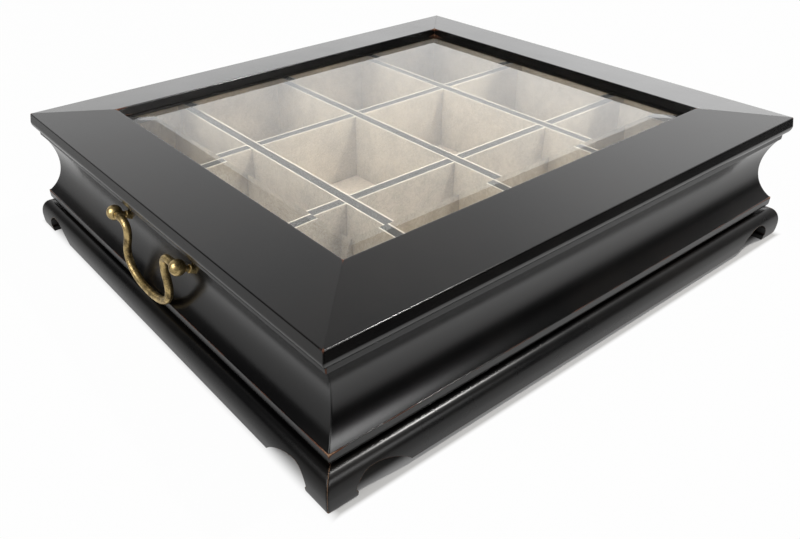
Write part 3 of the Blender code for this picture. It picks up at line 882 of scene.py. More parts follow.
@dataclass(frozen=True)
class Lacquer(Finish):
    """Black satin lacquer over a brown ground, rubbed through along its arrises and mitres.

    Attributes:
        black: the lacquer.
        warm: the lacquer where it is smeared.
        ground: the coat under it.
        wood: the wood under that.
        dust: specks on it.
        rough: its roughness.
        shine: how much it reflects.
        round_edge: radius of the rounding that cut edges shade with, 0 for none.
        edge_likeness: likeness of the rounded and the flat normal where an edge starts to wear, and where it
            is worn.
        worn_from: wear at which the ground starts to show, and at which it is bare.
        bare_from: the same for the wood.
    """

    name: str = "satin_black_lacquer"
    black: Colour = (0.0032, 0.0031, 0.0033)
    warm: Colour = (0.0065, 0.0052, 0.0044)
    ground: Colour = (0.14, 0.055, 0.032)
    wood: Colour = (0.46, 0.29, 0.18)
    dust: Colour = (0.34, 0.32, 0.30)
    rough: float = 0.2
    shine: float = 0.5
    round_edge: float = 0.0
    edge_likeness: Span = (0.985, 0.85)
    worn_from: Span = (1.34, 1.56)
    bare_from: Span = (1.66, 1.80)

    def paint(self, sheet: NodeSheet, place: Socket) -> Node:
        """Colours by wear, smears and dust, and bumps by orange peel, brush lines and wear.

        The wear is the section's turn and the nearness of an end, with a coarse and a fine noise added.

        Args:
            sheet: the material's nodes.
            place: object coordinates.

        Returns:
            The shader.
        """
        turn, end, _ = sheet.axes(sheet.read_map(WEAR_MAP))
        rounded = None
        if self.round_edge:
            rounded = sheet.add("ShaderNodeBevel", {"Radius": self.round_edge}, samples=6).outputs[0]
            flat = sheet.add("ShaderNodeNewGeometry").outputs["Normal"]
            edge = sheet.between(sheet.likeness(rounded, flat), *self.edge_likeness)
            turn = sheet.total((turn, 1.0), (edge, 1.1))
        patches = sheet.noise(place, scale=55.0)
        grit = sheet.noise(place, scale=900.0, detail=2.0, rough=0.7)
        smear = sheet.noise(place, scale=14.0, detail=4.0, rough=0.6)
        peel = sheet.noise(place, scale=420.0, detail=2.0, rough=0.5)
        along = sheet.scaled(sheet.read_map(SURFACE_MAP), (35.0, 1500.0, 1.0))
        brush = sheet.noise(along, scale=1.0, detail=2.0)
        specks = sheet.specks(place, pitch=0.016, size=0.00032, share=0.16)
        rub = sheet.total((turn, 1.0), (end, 0.42), (patches, 0.75), (grit, 0.35))
        worn = sheet.between(rub, *self.worn_from)
        colour = sheet.mix(sheet.between(smear, 0.35, 0.75), self.black, self.warm)
        colour = sheet.mix(worn, colour, self.ground)
        colour = sheet.mix(sheet.between(rub, *self.bare_from), colour, self.wood)
        colour = sheet.mix(sheet.times(specks, 0.8), colour, self.dust)
        rough = sheet.span(smear, self.rough - 0.05, self.rough + 0.09)
        rough = sheet.total((rough, 1.0), (worn, 0.35), (specks, 0.4))
        normal = sheet.bump(peel, 0.000012, rounded)
        normal = sheet.bump(brush, 0.000004, normal)
        normal = sheet.bump(sheet.math("SUBTRACT", 1.0, worn), 0.00005, normal)
        inputs = {
            "Base Color": colour,
            "Roughness": rough,
            "Normal": normal,
            "IOR": 1.52,
            "Specular IOR Level": sheet.span(worn, self.shine, 0.15 * self.shine),
        }
        return sheet.add("ShaderNodeBsdfPrincipled", inputs)


@dataclass(frozen=True)
class Glass(Finish):
    """Clear float glass with a faint green body and a little dust on it."""

    name: str = "bevelled_float_glass"
    body: Colour = (0.98, 0.986, 0.978)
    dust: Colour = (0.55, 0.54, 0.51)

    def paint(self, sheet: NodeSheet, place: Socket) -> Node:
        """Refracts, lets lamps through, and lays specks and a thin uneven film of dust over it.

        Args:
            sheet: the material's nodes.
            place: object coordinates.

        Returns:
            The shader.
        """
        inputs = {"Roughness": 0.0, "IOR": 1.5, "Transmission Weight": 1.0, "Base Color": self.body}
        glass = sheet.add("ShaderNodeBsdfPrincipled", inputs)
        clear = sheet.add("ShaderNodeBsdfTransparent", {"Color": self.body})
        powder = sheet.add("ShaderNodeBsdfPrincipled", {"Base Color": self.dust, "Roughness": 0.9})
        shadow = sheet.add("ShaderNodeLightPath").outputs["Is Shadow Ray"]
        pane = sheet.mix_shaders(shadow, glass, clear)
        fine = sheet.specks(place, pitch=0.006, size=0.00016, share=0.3)
        coarse = sheet.specks(place, pitch=0.021, size=0.0003, share=0.3)
        film = sheet.between(sheet.noise(place, scale=30.0, detail=4.0), 0.45, 0.8)
        cover = sheet.total((sheet.highest(fine, coarse), 0.55), (film, 0.011))
        return sheet.mix_shaders(cover, pane, powder)


@dataclass(frozen=True)
class Suede(Finish):
    """Short-napped suede cloth glued to pale card, which shows along the cut upper edges."""

    name: str = "taupe_suede"
    light: Colour = (0.455, 0.394, 0.308)
    dark: Colour = (0.305, 0.261, 0.199)
    card: Colour = (0.56, 0.515, 0.44)
    card_depth: float = 0.00003
    sheen: Colour = (0.95, 0.92, 0.86)

    def paint(self, sheet: NodeSheet, place: Socket) -> Node:
        """Colours by nap, fibres, flecks and the card's edge, with a soft sheen, and bumps by the fibres.

        Args:
            sheet: the material's nodes.
            place: object coordinates.

        Returns:
            The shader.
        """
        nap = sheet.noise(place, scale=70.0, detail=4.0, rough=0.6)
        fibre = sheet.noise(place, scale=2600.0, rough=0.7)
        fleck = sheet.noise(place, scale=650.0, detail=2.0, rough=0.6)
        share = sheet.total((nap, 0.33), (fibre, 0.27), (fleck, 0.4))
        colour = sheet.mix(sheet.between(share, 0.40, 0.60), self.dark, self.light)
        top = PLAN.divider_top
        edge = sheet.between(sheet.axes(place)[2], top - self.card_depth, top - self.card_depth / 2)
        inputs = {
            "Base Color": sheet.mix(edge, colour, self.card),
            "Roughness": 0.95,
            "Specular IOR Level": 0.2,
            "Sheen Weight": 0.25,
            "Sheen Roughness": 0.5,
            "Sheen Tint": self.sheen,
            "Normal": sheet.bump(fibre, 0.00012),
        }
        return sheet.add("ShaderNodeBsdfPrincipled", inputs)


@dataclass(frozen=True)
class GreyBoard(Finish):
    """Dense grey divider board with a cut, slightly fibrous edge."""

    name: str = "grey_divider_board"
    light: Colour = (0.034, 0.033, 0.029)
    dark: Colour = (0.02, 0.0195, 0.017)
    fleck: Colour = (0.4, 0.4, 0.38)

    def paint(self, sheet: NodeSheet, place: Socket) -> Node:
        """Colours by pulp, fibres and flecks, and bumps by the cut fibres.

        Args:
            sheet: the material's nodes.
            place: object coordinates.

        Returns:
            The shader.
        """
        pulp = sheet.noise(place, scale=160.0, detail=4.0, rough=0.65)
        fibre = sheet.noise(place, scale=1900.0, detail=2.0, rough=0.6)
        flecks = sheet.specks(place, pitch=0.007, size=0.00025, share=0.35)
        share = sheet.total((pulp, 0.6), (fibre, 0.4))
        colour = sheet.mix(sheet.between(share, 0.35, 0.65), self.dark, self.light)
        inputs = {
            "Base Color": sheet.mix(sheet.times(flecks, 0.4), colour, self.fleck),
            "Roughness": 0.85,
            "Specular IOR Level": 0.2,
            "Normal": sheet.bump(fibre, 0.00006),
        }
        return sheet.add("ShaderNodeBsdfPrincipled", inputs)


@dataclass(frozen=True)
class BareWood(Finish):
    """Unfinished brown softwood with its grain along X."""

    name: str = "bare_brown_wood"
    early: Colour = (0.26, 0.155, 0.085)
    late: Colour = (0.13, 0.07, 0.036)

    def paint(self, sheet: NodeSheet, place: Socket) -> Node:
        """Colours by long bands of grain with pores, and bumps by the pores.

        Args:
            sheet: the material's nodes.
            place: object coordinates.

        Returns:
            The shader.
        """
        band = sheet.noise(sheet.scaled(place, (6.0, 130.0, 130.0)), scale=1.0, detail=4.0, rough=0.6)
        pore = sheet.noise(sheet.scaled(place, (60.0, 1600.0, 1600.0)), scale=1.0, detail=2.0, rough=0.6)
        share = sheet.total((band, 0.75), (pore, 0.25))
        inputs = {
            "Base Color": sheet.mix(sheet.between(share, 0.34, 0.64), self.late, self.early),
            "Roughness": sheet.span(band, 0.62, 0.8),
            "Normal": sheet.bump(pore, 0.00008),
        }
        return sheet.add("ShaderNodeBsdfPrincipled", inputs)


@dataclass(frozen=True)
class Brass(Finish):
    """Antiqued brass: dark patina in the hollows, rubbed bright where hands and edges wear it."""

    name: str = "antique_brass"
    bright: Colour = (0.88, 0.665, 0.31)
    dull: Colour = (0.58, 0.43, 0.195)
    dark: Colour = (0.14, 0.1, 0.05)

    def paint(self, sheet: NodeSheet, place: Socket) -> Node:
        """Colours metal by patina, rougher where it is dark, and bumps by small dents and pits.

        Args:
            sheet: the material's nodes.
            place: object coordinates.

        Returns:
            The shader.
        """
        turn = sheet.axes(sheet.read_map(WEAR_MAP))[0]
        patina = sheet.noise(place, scale=190.0, detail=4.0, rough=0.62)
        grit = sheet.noise(place, scale=1500.0, rough=0.65)
        dents = sheet.noise(place, scale=330.0, detail=2.0)
        share = sheet.total((patina, 0.7), (grit, 0.3), (turn, 0.15))
        colour = sheet.mix(sheet.between(share, 0.34, 0.52), self.dark, self.dull)
        colour = sheet.mix(sheet.between(share, 0.46, 0.62), colour, self.bright)
        inputs = {
            "Base Color": colour,
            "Metallic": 1.0,
            "Roughness": sheet.span(sheet.between(share, 0.36, 0.6), 0.46, 0.36),
            "Normal": sheet.bump(grit, 0.00001, sheet.bump(dents, 0.00003)),
        }
        return sheet.add("ShaderNodeBsdfPrincipled", inputs)


class FinishRack:
    """Holds a material for each slot, and other coats for the base, the glass beads and the floor lining."""

    def __init__(self) -> None:
        """Builds every finish."""
        base = Lacquer(name="dull_black_lacquer", rough=0.26, shine=0.31, round_edge=0.0004)
        bead = Lacquer(name="matt_black_lacquer", rough=0.6, shine=0.12)
        # The floor lining's suede is a paler copy of the wall suede: painted light, standing in for the extra
        # light that falls on the level floor.
        floor = Suede(name="suede_painted_lighter", light=(0.76, 0.645, 0.515), dark=(0.57, 0.48, 0.375))
        self.base_lacquer = base.material()
        self.bead_lacquer = bead.material()
        self.floor_suede_painted_light = floor.material()
        finishes = {
            Slot.LACQUER: Lacquer(),
            Slot.GLASS: Glass(),
            Slot.SUEDE: Suede(),
            Slot.BOARD: GreyBoard(),
            Slot.WOOD: BareWood(),
            Slot.BRASS: Brass(),
        }
        self.materials = {slot: finish.material() for slot, finish in finishes.items()}

    def coat(self, obj: Piece, slot: Slot, material: Material | None = None) -> None:
        """Gives an object its slot's material, or another, in place of any that it has."""
        obj.data.materials.clear()
        obj.data.materials.append(material or self.materials[slot])


@dataclass
class Assembly:
    """What every sub-assembly has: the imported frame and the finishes.

    Attributes:
        rack: the finishes.
    """

    frame: dict
    rack: FinishRack

    def put(
        self,
        obj: Piece,
        body: Body,
        slot: Slot,
        stands_for: tuple[str, ...] = (),
        material: Material | None = None,
    ) -> None:
        """Finishes a new piece and sets it on its body.

        Args:
            obj: the piece, in place.
            body: the body that it moves with.
            slot: its slot, which names its finish.
            stands_for: the nodes that it replaces.
            material: a material other than the slot's own.
        """
        self.rack.coat(obj, slot, material)
        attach(obj, body.value)
        if stands_for:
            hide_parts(*stands_for)
        LOG.info("%s: %d faces on %s", obj.name, len(obj.data.polygons), body.value)

    def finish_nodes(self, slot: Slot, *names: str) -> None:
        """Gives nodes that keep their own shape a finish.

        Args:
            slot: the slot, which names the finish.
            *names: names of the nodes.
        """
        for name in names:
            self.rack.coat(self.frame["nodes"][name], slot)
            LOG.info("%s: finished as %s", name, slot.value)


@dataclass
class Hinges(Assembly):
    """Two butt hinges at the back: the nodes' leaves and pins, their screws and the room cut for them."""

    spread: float = 0.22
    length: float = 0.04
    leaf_thickness: float = 0.0012
    leaf_depth: float = 0.012
    knuckle_radius: float = 0.0022
    axis_outset: float = 0.0008
    screw_radius: float = 0.0021
    screw_pitch: float = 0.0135
    screw_inset: float = 0.0105
    screw_crown: float = 0.00012
    screw_fall: float = 0.0001
    screw_edge: float = 0.0002
    screw_depth: float = 0.0009
    shank_share: float = 0.5
    screw_steps: int = 24
    slot_width: float = 0.0006
    slot_depth: float = 0.0004
    slot_clearance: float = 0.0006
    slot_reach: float = 1.2
    slot_turns: tuple[float, float] = (0.5, -0.3)
    slot_step: float = 0.9

    @property
    def axis(self) -> tuple[float, float]:
        """Where the pins are, as Y and Z."""
        return PLAN.depth / 2 + self.axis_outset, PLAN.rim + PLAN.seam / 2

    @property
    def middles(self) -> tuple[tuple[str, float], ...]:
        """Name and X of each hinge."""
        return ("left", -self.spread / 2), ("right", self.spread / 2)

    def room(self, body: Body) -> list[Piece]:
        """Shapes to cut from the back wall or the back lid rail for the leaves and the knuckles.

        Args:
            body: the case or the lid.

        Returns:
            A box for each leaf and a rod for each row of knuckles.
        """
        y, z = self.axis
        half = self.length / 2 + PLAN.fit
        inner = y - self.axis_outset - PLAN.fillet_inset - self.leaf_depth - PLAN.fit
        outer = y + self.knuckle_radius
        leaf = PLAN.seam / 2 + self.leaf_thickness + PLAN.fit
        below, above = (leaf, self.knuckle_radius) if body is Body.CASE else (self.knuckle_radius, leaf)
        tools = []
        for hand, x in self.middles:
            corners = np.array([(x - half, inner), (x + half, inner), (x + half, outer), (x - half, outer)])
            tools.append(prism(corners, z - below, z + above).to_object(f"leaf_room_{hand}"))
            radius, along = self.knuckle_radius + PLAN.fit, np.array([1.0, 0.0, 0.0])
            knuckles = rod(radius, (-half, half), (x, y, z), along)
            tools.append(knuckles.to_object(f"knuckle_room_{hand}"))
        return tools

    def screw_heads(self, hand: str, x: float, body: Body) -> Piece:
        """Three countersunk slotted screw heads, let into a leaf.

        The head is a low dome: its height falls with the square of the distance from the middle. A straight
        slot is cut across it.

        Args:
            hand: which hinge.
            x: where the hinge is.
            body: the case or the lid.

        Returns:
            The piece.
        """
        y, z = self.axis
        up = 1.0 if body is Body.CASE else -1.0
        face = z - up * PLAN.seam / 2
        share = np.linspace(0.0, 1.0, 6)
        dome = np.stack([self.screw_radius * share, self.screw_crown - self.screw_fall * share**2], axis=1)
        shank = self.screw_radius * self.shank_share
        side = [(self.screw_radius, -self.screw_edge), (shank, -self.screw_depth), (0.0, -self.screw_depth)]
        profile = np.vstack([dome, side])
        turn = self.slot_turns[0] if hand == "left" else self.slot_turns[1]
        heads, slots = [], []
        for number in (-1, 0, 1):
            centre = (x + number * self.screw_pitch, y - self.screw_inset, face)
            heads.append(turned(profile, centre, np.array([0.0, 0.0, up]), self.screw_steps))
            angle = turn + number * self.slot_step
            ahead = np.array([math.cos(angle), math.sin(angle)])
            across = np.array([-ahead[1], ahead[0]]) * self.slot_width / 2
            reach = ahead * self.screw_radius * self.slot_reach
            corners = np.stack([-reach - across, reach - across, reach + across, -reach + across])
            ends = (face - up * self.slot_depth, face + up * self.slot_clearance)
            slots.append(prism(corners + centre[:2], *ends).to_object(f"slot_{hand}_{number}"))
        obj = Surface.joined(heads).to_object(f"hinge_screws_{body.value}_{hand}")
        return carve(obj, slots)

    def build(self) -> None:
        """Finishes the leaves and pins and sets the screws."""
        for hand, x in self.middles:
            names = (f"hinge_leaf_case_{hand}", f"hinge_leaf_lid_{hand}", f"hinge_pin_{hand}")
            self.finish_nodes(Slot.BRASS, *names)
            for body in (Body.CASE, Body.LID):
                self.put(self.screw_heads(hand, x, body), body, Slot.BRASS)


@dataclass
class Lid(Assembly):
    """Four crowned rails, the bevelled pane and the beads that hold it."""

    hinges: Hinges
    rail_width: float = 0.0477
    edge_height: float = 0.0115
    crown: float = 0.005
    nose_height: float = 0.0054
    undercut: float = 0.0036
    lean: float = 0.001
    arris: float = 0.0008
    reveal: float = 0.0062
    rabbet_width: float = 0.006
    bead_height: float = 0.005
    bead_radius: float = 0.003
    corner: float = 0.0006
    bead_corner: float = 0.0001
    top_wear: float = 0.6
    nose_wear: float = 0.05
    bead_wear: Wear = Wear(0.3, corner=0.1, mitre=0.1)

    def rail_profile(self) -> Profile:
        """Section of a rail: undercut, nose, leaning edge, crowned top and glass rabbet.

        Returns:
            The section, from the seam's height up.
        """
        seam, nose = (self.undercut, 0.0), (0.0, self.nose_height)
        arris = (self.lean, self.edge_height)
        crest = (self.rail_width, self.edge_height + self.crown)
        rabbet = (self.rail_width, crest[1] - self.reveal)
        inner = self.rail_width - self.rabbet_width
        corners = [
            quarter(seam, nose, upright_start=False),
            fillet(nose, arris, crest, self.arris),
            fillet(arris, crest, rabbet, self.arris),
            [rabbet, (inner, rabbet[1]), (inner, 0.0)],
        ]
        return Profile(np.vstack(corners))

    def bead_profile(self) -> Profile:
        """Section of a bead, with its lower inner arris rounded.

        Returns:
            The section, from the bead's foot up.
        """
        outer = self.rail_width - self.rabbet_width + PLAN.fit
        inner = self.rail_width - PLAN.fit
        low = quarter((inner, self.bead_radius), (inner - self.bead_radius, 0.0), upright_start=True)
        return Profile(np.vstack([[(outer, 0.0), (outer, self.bead_height), (inner, self.bead_height)], low]))

    def build(self) -> None:
        """Builds the rails and beads and finishes the pane."""
        section, bead = self.rail_profile(), self.bead_profile()
        arrises = np.where(section.points[:, 1] > self.nose_height, self.top_wear, self.nose_wear)
        wear = Wear(arrises, corner=0.1, mitre=0.28)
        bead_foot = float(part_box("lid_glass")[0].z) - PLAN.fit - self.bead_height
        for side in Side:
            rail = mitred_rail(section, side, PLAN.lid_foot, self.corner, wear)
            rail = rail.to_object(f"lacquered_lid_rail_{side.label}")
            if side is Side.BACK:
                carve(rail, self.hinges.room(Body.LID))
            self.put(rail, Body.LID, Slot.LACQUER, (f"lid_rail_{side.label}",))
            strip = mitred_rail(bead, side, bead_foot, self.bead_corner, self.bead_wear)
            strip = strip.to_object(f"lacquered_glass_bead_{side.label}")
            self.put(strip, Body.LID, Slot.LACQUER, (f"glass_bead_{side.label}",), self.rack.bead_lacquer)
        self.finish_nodes(Slot.GLASS, "lid_glass")


@dataclass
class Case(Assembly):
    """Coved walls on a bottom board."""

    hinges: Hinges
    height: float = 0.0562
    fillet_height: float = 0.0041
    quirk: float = 0.0007
    cove_depth: float = 0.0076
    lip_height: float = 0.0075
    lip_ledge: float = 0.0006
    lip_undercut: float = 0.002
    lip_rounding: float = 0.003
    edge_radius: float = 0.0004
    corner: float = 0.0005
    lip_wear: float = 1.42
    other_wear: float = 0.5

    def wall_profile(self) -> Profile:
        """Section of a wall: lip with a rounded underside, cove, top fillet and rim.

        Returns:
            The section, from the wall's foot up.
        """
        lip_low, lip_top = (PLAN.lip_inset, self.lip_rounding), (PLAN.lip_inset, self.lip_height)
        cove_low = (PLAN.lip_inset + self.lip_ledge, self.lip_height)
        cove_high = (PLAN.fillet_inset + self.quirk, self.height - self.fillet_height)
        fillet_low, fillet_top = (PLAN.fillet_inset, cove_high[1]), (PLAN.fillet_inset, self.height)
        rim = (PLAN.wall_inset, self.height)
        corners = [
            quarter((PLAN.lip_inset + self.lip_undercut, 0.0), lip_low, upright_start=False, steps=10),
            fillet(lip_low, lip_top, cove_low, self.edge_radius),
            arc(cove_low, cove_high, -self.cove_depth, steps=64),
            fillet(cove_high, fillet_low, fillet_top, self.edge_radius),
            fillet(fillet_low, fillet_top, rim, self.edge_radius),
            [rim, (PLAN.wall_inset, 0.0)],
        ]
        return Profile(np.vstack(corners))

    def build(self) -> None:
        """Builds the walls and finishes the bottom board."""
        section = self.wall_profile()
        near_lip = np.abs(section.points[:, 1] - self.lip_height) < self.lip_height / 2
        wear = Wear(np.where(near_lip, self.lip_wear, self.other_wear), corner=0.34, mitre=0.15)
        for side in Side:
            wall = mitred_rail(section, side, PLAN.case_foot, self.corner, wear)
            wall = wall.to_object(f"lacquered_wall_{side.label}")
            if side is Side.BACK:
                carve(wall, self.hinges.room(Body.CASE))
            self.put(wall, Body.CASE, Slot.LACQUER, (f"case_wall_{side.label}",))
        self.finish_nodes(Slot.WOOD, "case_bottom")


@dataclass
class Base(Assembly):
    """Bulged rails with bracket feet and scalloped cut-outs, and the blocks inside the corners."""

    height: float = 0.0202
    projection: float = 0.0069
    bulge_height: float = 0.008
    crest_inset: float = 0.0005
    crest_fall: float = 0.0008
    tuck: float = 0.001
    shelf_inset: float = 0.007
    shelf: float = 0.0165
    inner_inset: float = 0.012
    foot_width: float = 0.0176
    toe_length: float = 0.0013
    toe_height: float = 0.0043
    arch_peak: float = 0.0285
    arch_height: float = 0.0144
    arch_end: float = 0.0531
    apron: float = 0.003
    corner: float = 0.0012
    wear: Wear = Wear(0.8, corner=0.36, mitre=0.1)

    def rail_profile(self) -> Profile:
        """Section of a rail: tucked foot, bulge, rounded top and the shelf for the bottom board.

        Returns:
            The section, from the ground up.
        """
        bulge, crest = (-self.projection, self.bulge_height), (self.crest_inset, self.height)
        corners = [
            quarter((self.tuck - self.projection, 0.0), bulge, upright_start=False, steps=20),
            quarter(bulge, crest, upright_start=True, steps=32)[1:],
            [(self.shelf_inset, self.height - self.crest_fall)],
            [(self.shelf_inset, self.shelf), (self.inner_inset, self.shelf), (self.inner_inset, 0.0)],
        ]
        return Profile(np.vstack(corners))

    def cutout(self, side: Side) -> Piece:
        """The room below the apron of one side, with a scallop beside each foot.

        The outline rises from the toe in a quarter round, goes up the scallop in a quarter ellipse to its
        peak and falls along a circular arc to the apron. It is mirrored about the middle of the side and
        carried across the rail.

        Args:
            side: the side that is cut.

        Returns:
            The shape to cut away.
        """
        toe = self.foot_width + self.toe_length
        toe_top, peak = (self.foot_width, self.toe_height), (self.arch_peak, self.arch_height)
        run, drop = self.arch_end - self.arch_peak, self.apron - self.arch_height
        radius = (run**2 + drop**2) / (2 * drop)
        sweep = np.linspace(0.0, math.asin(run / radius), 21)[1:]
        fall = np.stack([radius * np.sin(sweep), radius * (1 - np.cos(sweep))], axis=1)
        curves = [
            [(toe, -self.toe_height)],
            quarter((toe, self.toe_height - self.toe_length), toe_top, upright_start=True, steps=6),
            quarter(toe_top, peak, upright_start=True, steps=20)[1:],
            fall + np.array(peak),
        ]
        half = np.vstack(curves)
        half[:, 0] = side.length / 2 + self.projection - half[:, 0]
        outline = np.vstack([half, half[::-1] * np.array([-1.0, 1.0])])
        inset = np.array([-2 * self.projection, 2 * self.inner_inset])[:, None]
        grid = side.place(inset, outline[:, 0], outline[:, 1])
        return Surface.plain(grid).to_object(f"foot_room_{side.label}")

    def build(self) -> None:
        """Builds the rails and finishes the corner blocks."""
        section = self.rail_profile()
        for side in Side:
            rail = mitred_rail(section, side, 0.0, self.corner, self.wear)
            rail = carve(rail.to_object(f"lacquered_base_rail_{side.label}"), [self.cutout(side)])
            node = f"base_rail_{side.label}"
            self.put(rail, Body.CASE, Slot.LACQUER, (node,), self.rack.base_lacquer)
        blocks = [f"corner_block_{end}_{hand}" for end in ("front", "back") for hand in ("left", "right")]
        self.finish_nodes(Slot.WOOD, *blocks)


@dataclass
class Linings(Assembly):
    """The lined grid: boards halved over each other, with a suede sheet on every face."""

    columns: int = 4
    rows: int = 3
    board: float = 0.0056
    board_ease: float = 0.00025
    sheet_ease: float = 0.0003
    sheet_fit: float = 0.0001
    floor_points: tuple[int, int] = (73, 65)
    floor_sag: float = 0.00006
    floor_waves: tuple[float, float] = (95.0, 88.0)
    floor_phase: float = 0.7

    @property
    def foot(self) -> float:
        """Height of the dividers' lower edge."""
        return PLAN.floor_top + PLAN.fit

    @property
    def thickness(self) -> float:
        """Thickness of a divider with both its sheets."""
        return self.board + 2 * (PLAN.fit + PLAN.lining)

    def middles(self, space: float, count: int) -> Array:
        """Middles of the dividers that share a space into equal compartments."""
        pitch = (space + self.thickness) / count
        return pitch * np.arange(1, count) - (space + self.thickness) / 2

    def outline(self, length: float, crossings: Array | None = None, from_top: bool = False) -> Array:
        """Outline of a sheet, slotted to half its height where others cross it.

        Args:
            length: length of the sheet.
            crossings: middles of the sheets that cross it.
            from_top: True if the slots are open at the top.

        Returns:
            Corners in (along, up), clockwise from the upper end.
        """
        low, high = self.foot, PLAN.divider_top
        upper = np.array([(-length / 2, high), (length / 2, high)])
        lower = np.array([(length / 2, low), (-length / 2, low)])
        if crossings is None:
            return np.vstack([upper, lower])
        half_slot = self.thickness / 2 + self.sheet_fit
        along = crossings[:, None] + half_slot * np.array([-1, -1, 1, 1])
        depth = (high - low + PLAN.fit) / 2 * np.array([0, 1, 1, 0])
        up = high - depth if from_top else low + depth
        slots = np.stack(np.broadcast_arrays(along, up), axis=-1).reshape(-1, 2)
        if from_top:
            return np.vstack([upper[:1], slots, upper[1:], lower])
        return np.vstack([upper, lower[:1], slots[::-1], lower[1:]])

    def sheet(self, outline: Array, middle: float, thick: float, ease: float, lengthwise: bool) -> Surface:
        """An upright sheet at a place across the case.

        Args:
            outline: corners of the sheet in (along, up).
            middle: where the sheet's middle is, across its own length.
            thick: its thickness.
            ease: radius of its edges.
            lengthwise: True if it runs from left to right.

        Returns:
            The sheet.
        """
        flat = eased_sheet(outline, thick, ease)
        along, across, up = flat[..., 0], flat[..., 1] + middle, flat[..., 2]
        return Surface.plain(np.stack([along, across, up] if lengthwise else [across, along, up], axis=-1))

    def build_divider(
        self, kind: str, number: int, middle: float, outline: Array, faces: tuple[str, str]
    ) -> None:
        """Builds one board and its two sheets.

        Args:
            kind: cross or long.
            number: the divider's number.
            middle: where its middle is.
            outline: its outline.
            faces: names of its two faces.
        """
        lengthwise = kind == "long"
        offset = self.board / 2 + PLAN.fit + PLAN.lining / 2
        name = f"{kind}_divider_{number}"
        board = self.sheet(outline, middle, self.board, self.board_ease, lengthwise)
        self.put(board.to_object(f"grey_{name}"), Body.CASE, Slot.BOARD, (name,))
        for face, away in zip(faces, (-offset, offset)):
            name = f"{kind}_lining_{number}_{face}"
            cloth = self.sheet(outline, middle + away, PLAN.lining, self.sheet_ease, lengthwise)
            self.put(cloth.to_object(f"suede_{name}"), Body.CASE, Slot.SUEDE, (name,))

    def build_wall_sheet(self, side: Side) -> None:
        """Builds the sheet on one wall. Those at the ends stand between the other two.

        Args:
            side: the wall's side.
        """
        end_inset = PLAN.wall_inset + PLAN.fit
        if side in (Side.LEFT, Side.RIGHT):
            end_inset = PLAN.lined_inset - self.sheet_ease
        flat = eased_sheet(self.outline(side.length - 2 * end_inset), PLAN.lining, self.sheet_ease)
        inset = PLAN.wall_inset + PLAN.fit + PLAN.lining / 2 + flat[..., 1]
        cloth = Surface.plain(side.place(inset, flat[..., 0], flat[..., 2]))
        name = f"wall_lining_{side.label}"
        self.put(cloth.to_object(f"suede_{name}"), Body.CASE, Slot.SUEDE, (name,))

    def build_floor(self) -> None:
        """Builds the floor sheet, a little uneven: its height falls by a slow wave in both directions."""
        half_x = PLAN.width / 2 - PLAN.wall_inset - PLAN.fit
        half_y = PLAN.depth / 2 - PLAN.wall_inset - PLAN.fit
        x = np.linspace(-half_x, half_x, self.floor_points[0])[:, None]
        y = np.linspace(-half_y, half_y, self.floor_points[1])
        wave = np.sin(x * self.floor_waves[0] + self.floor_phase) * np.cos(y * self.floor_waves[1])
        sag = self.floor_sag * (1 + wave)
        top = np.stack(np.broadcast_arrays(x, y, PLAN.floor_top - sag), axis=-1)
        under = np.stack(np.broadcast_arrays(x, y, np.full_like(sag, PLAN.case_foot)), axis=-1)
        floor = Surface.plain(np.concatenate([top, under[:, ::-1]], axis=1))
        obj = floor.to_object("suede_floor_lining")
        # The floor takes the paler copy of the suede, which paints in the extra light on the level floor.
        self.put(obj, Body.CASE, Slot.SUEDE, ("floor_lining",), self.rack.floor_suede_painted_light)

    def build(self) -> None:
        """Builds the floor, the wall sheets and the grid."""
        self.build_floor()
        for side in Side:
            self.build_wall_sheet(side)
        width, depth = PLAN.width - 2 * PLAN.lined_inset, PLAN.depth - 2 * PLAN.lined_inset
        across, along = self.middles(width, self.columns), self.middles(depth, self.rows)
        cross = self.outline(depth + 2 * self.sheet_ease, along, from_top=False)
        long = self.outline(width + 2 * self.sheet_ease, across, from_top=True)
        for number, middle in enumerate(across, 1):
            self.build_divider("cross", number, float(middle), cross, ("left", "right"))
        for number, middle in enumerate(along, 1):
            self.build_divider("long", number, float(middle), long, ("front", "back"))


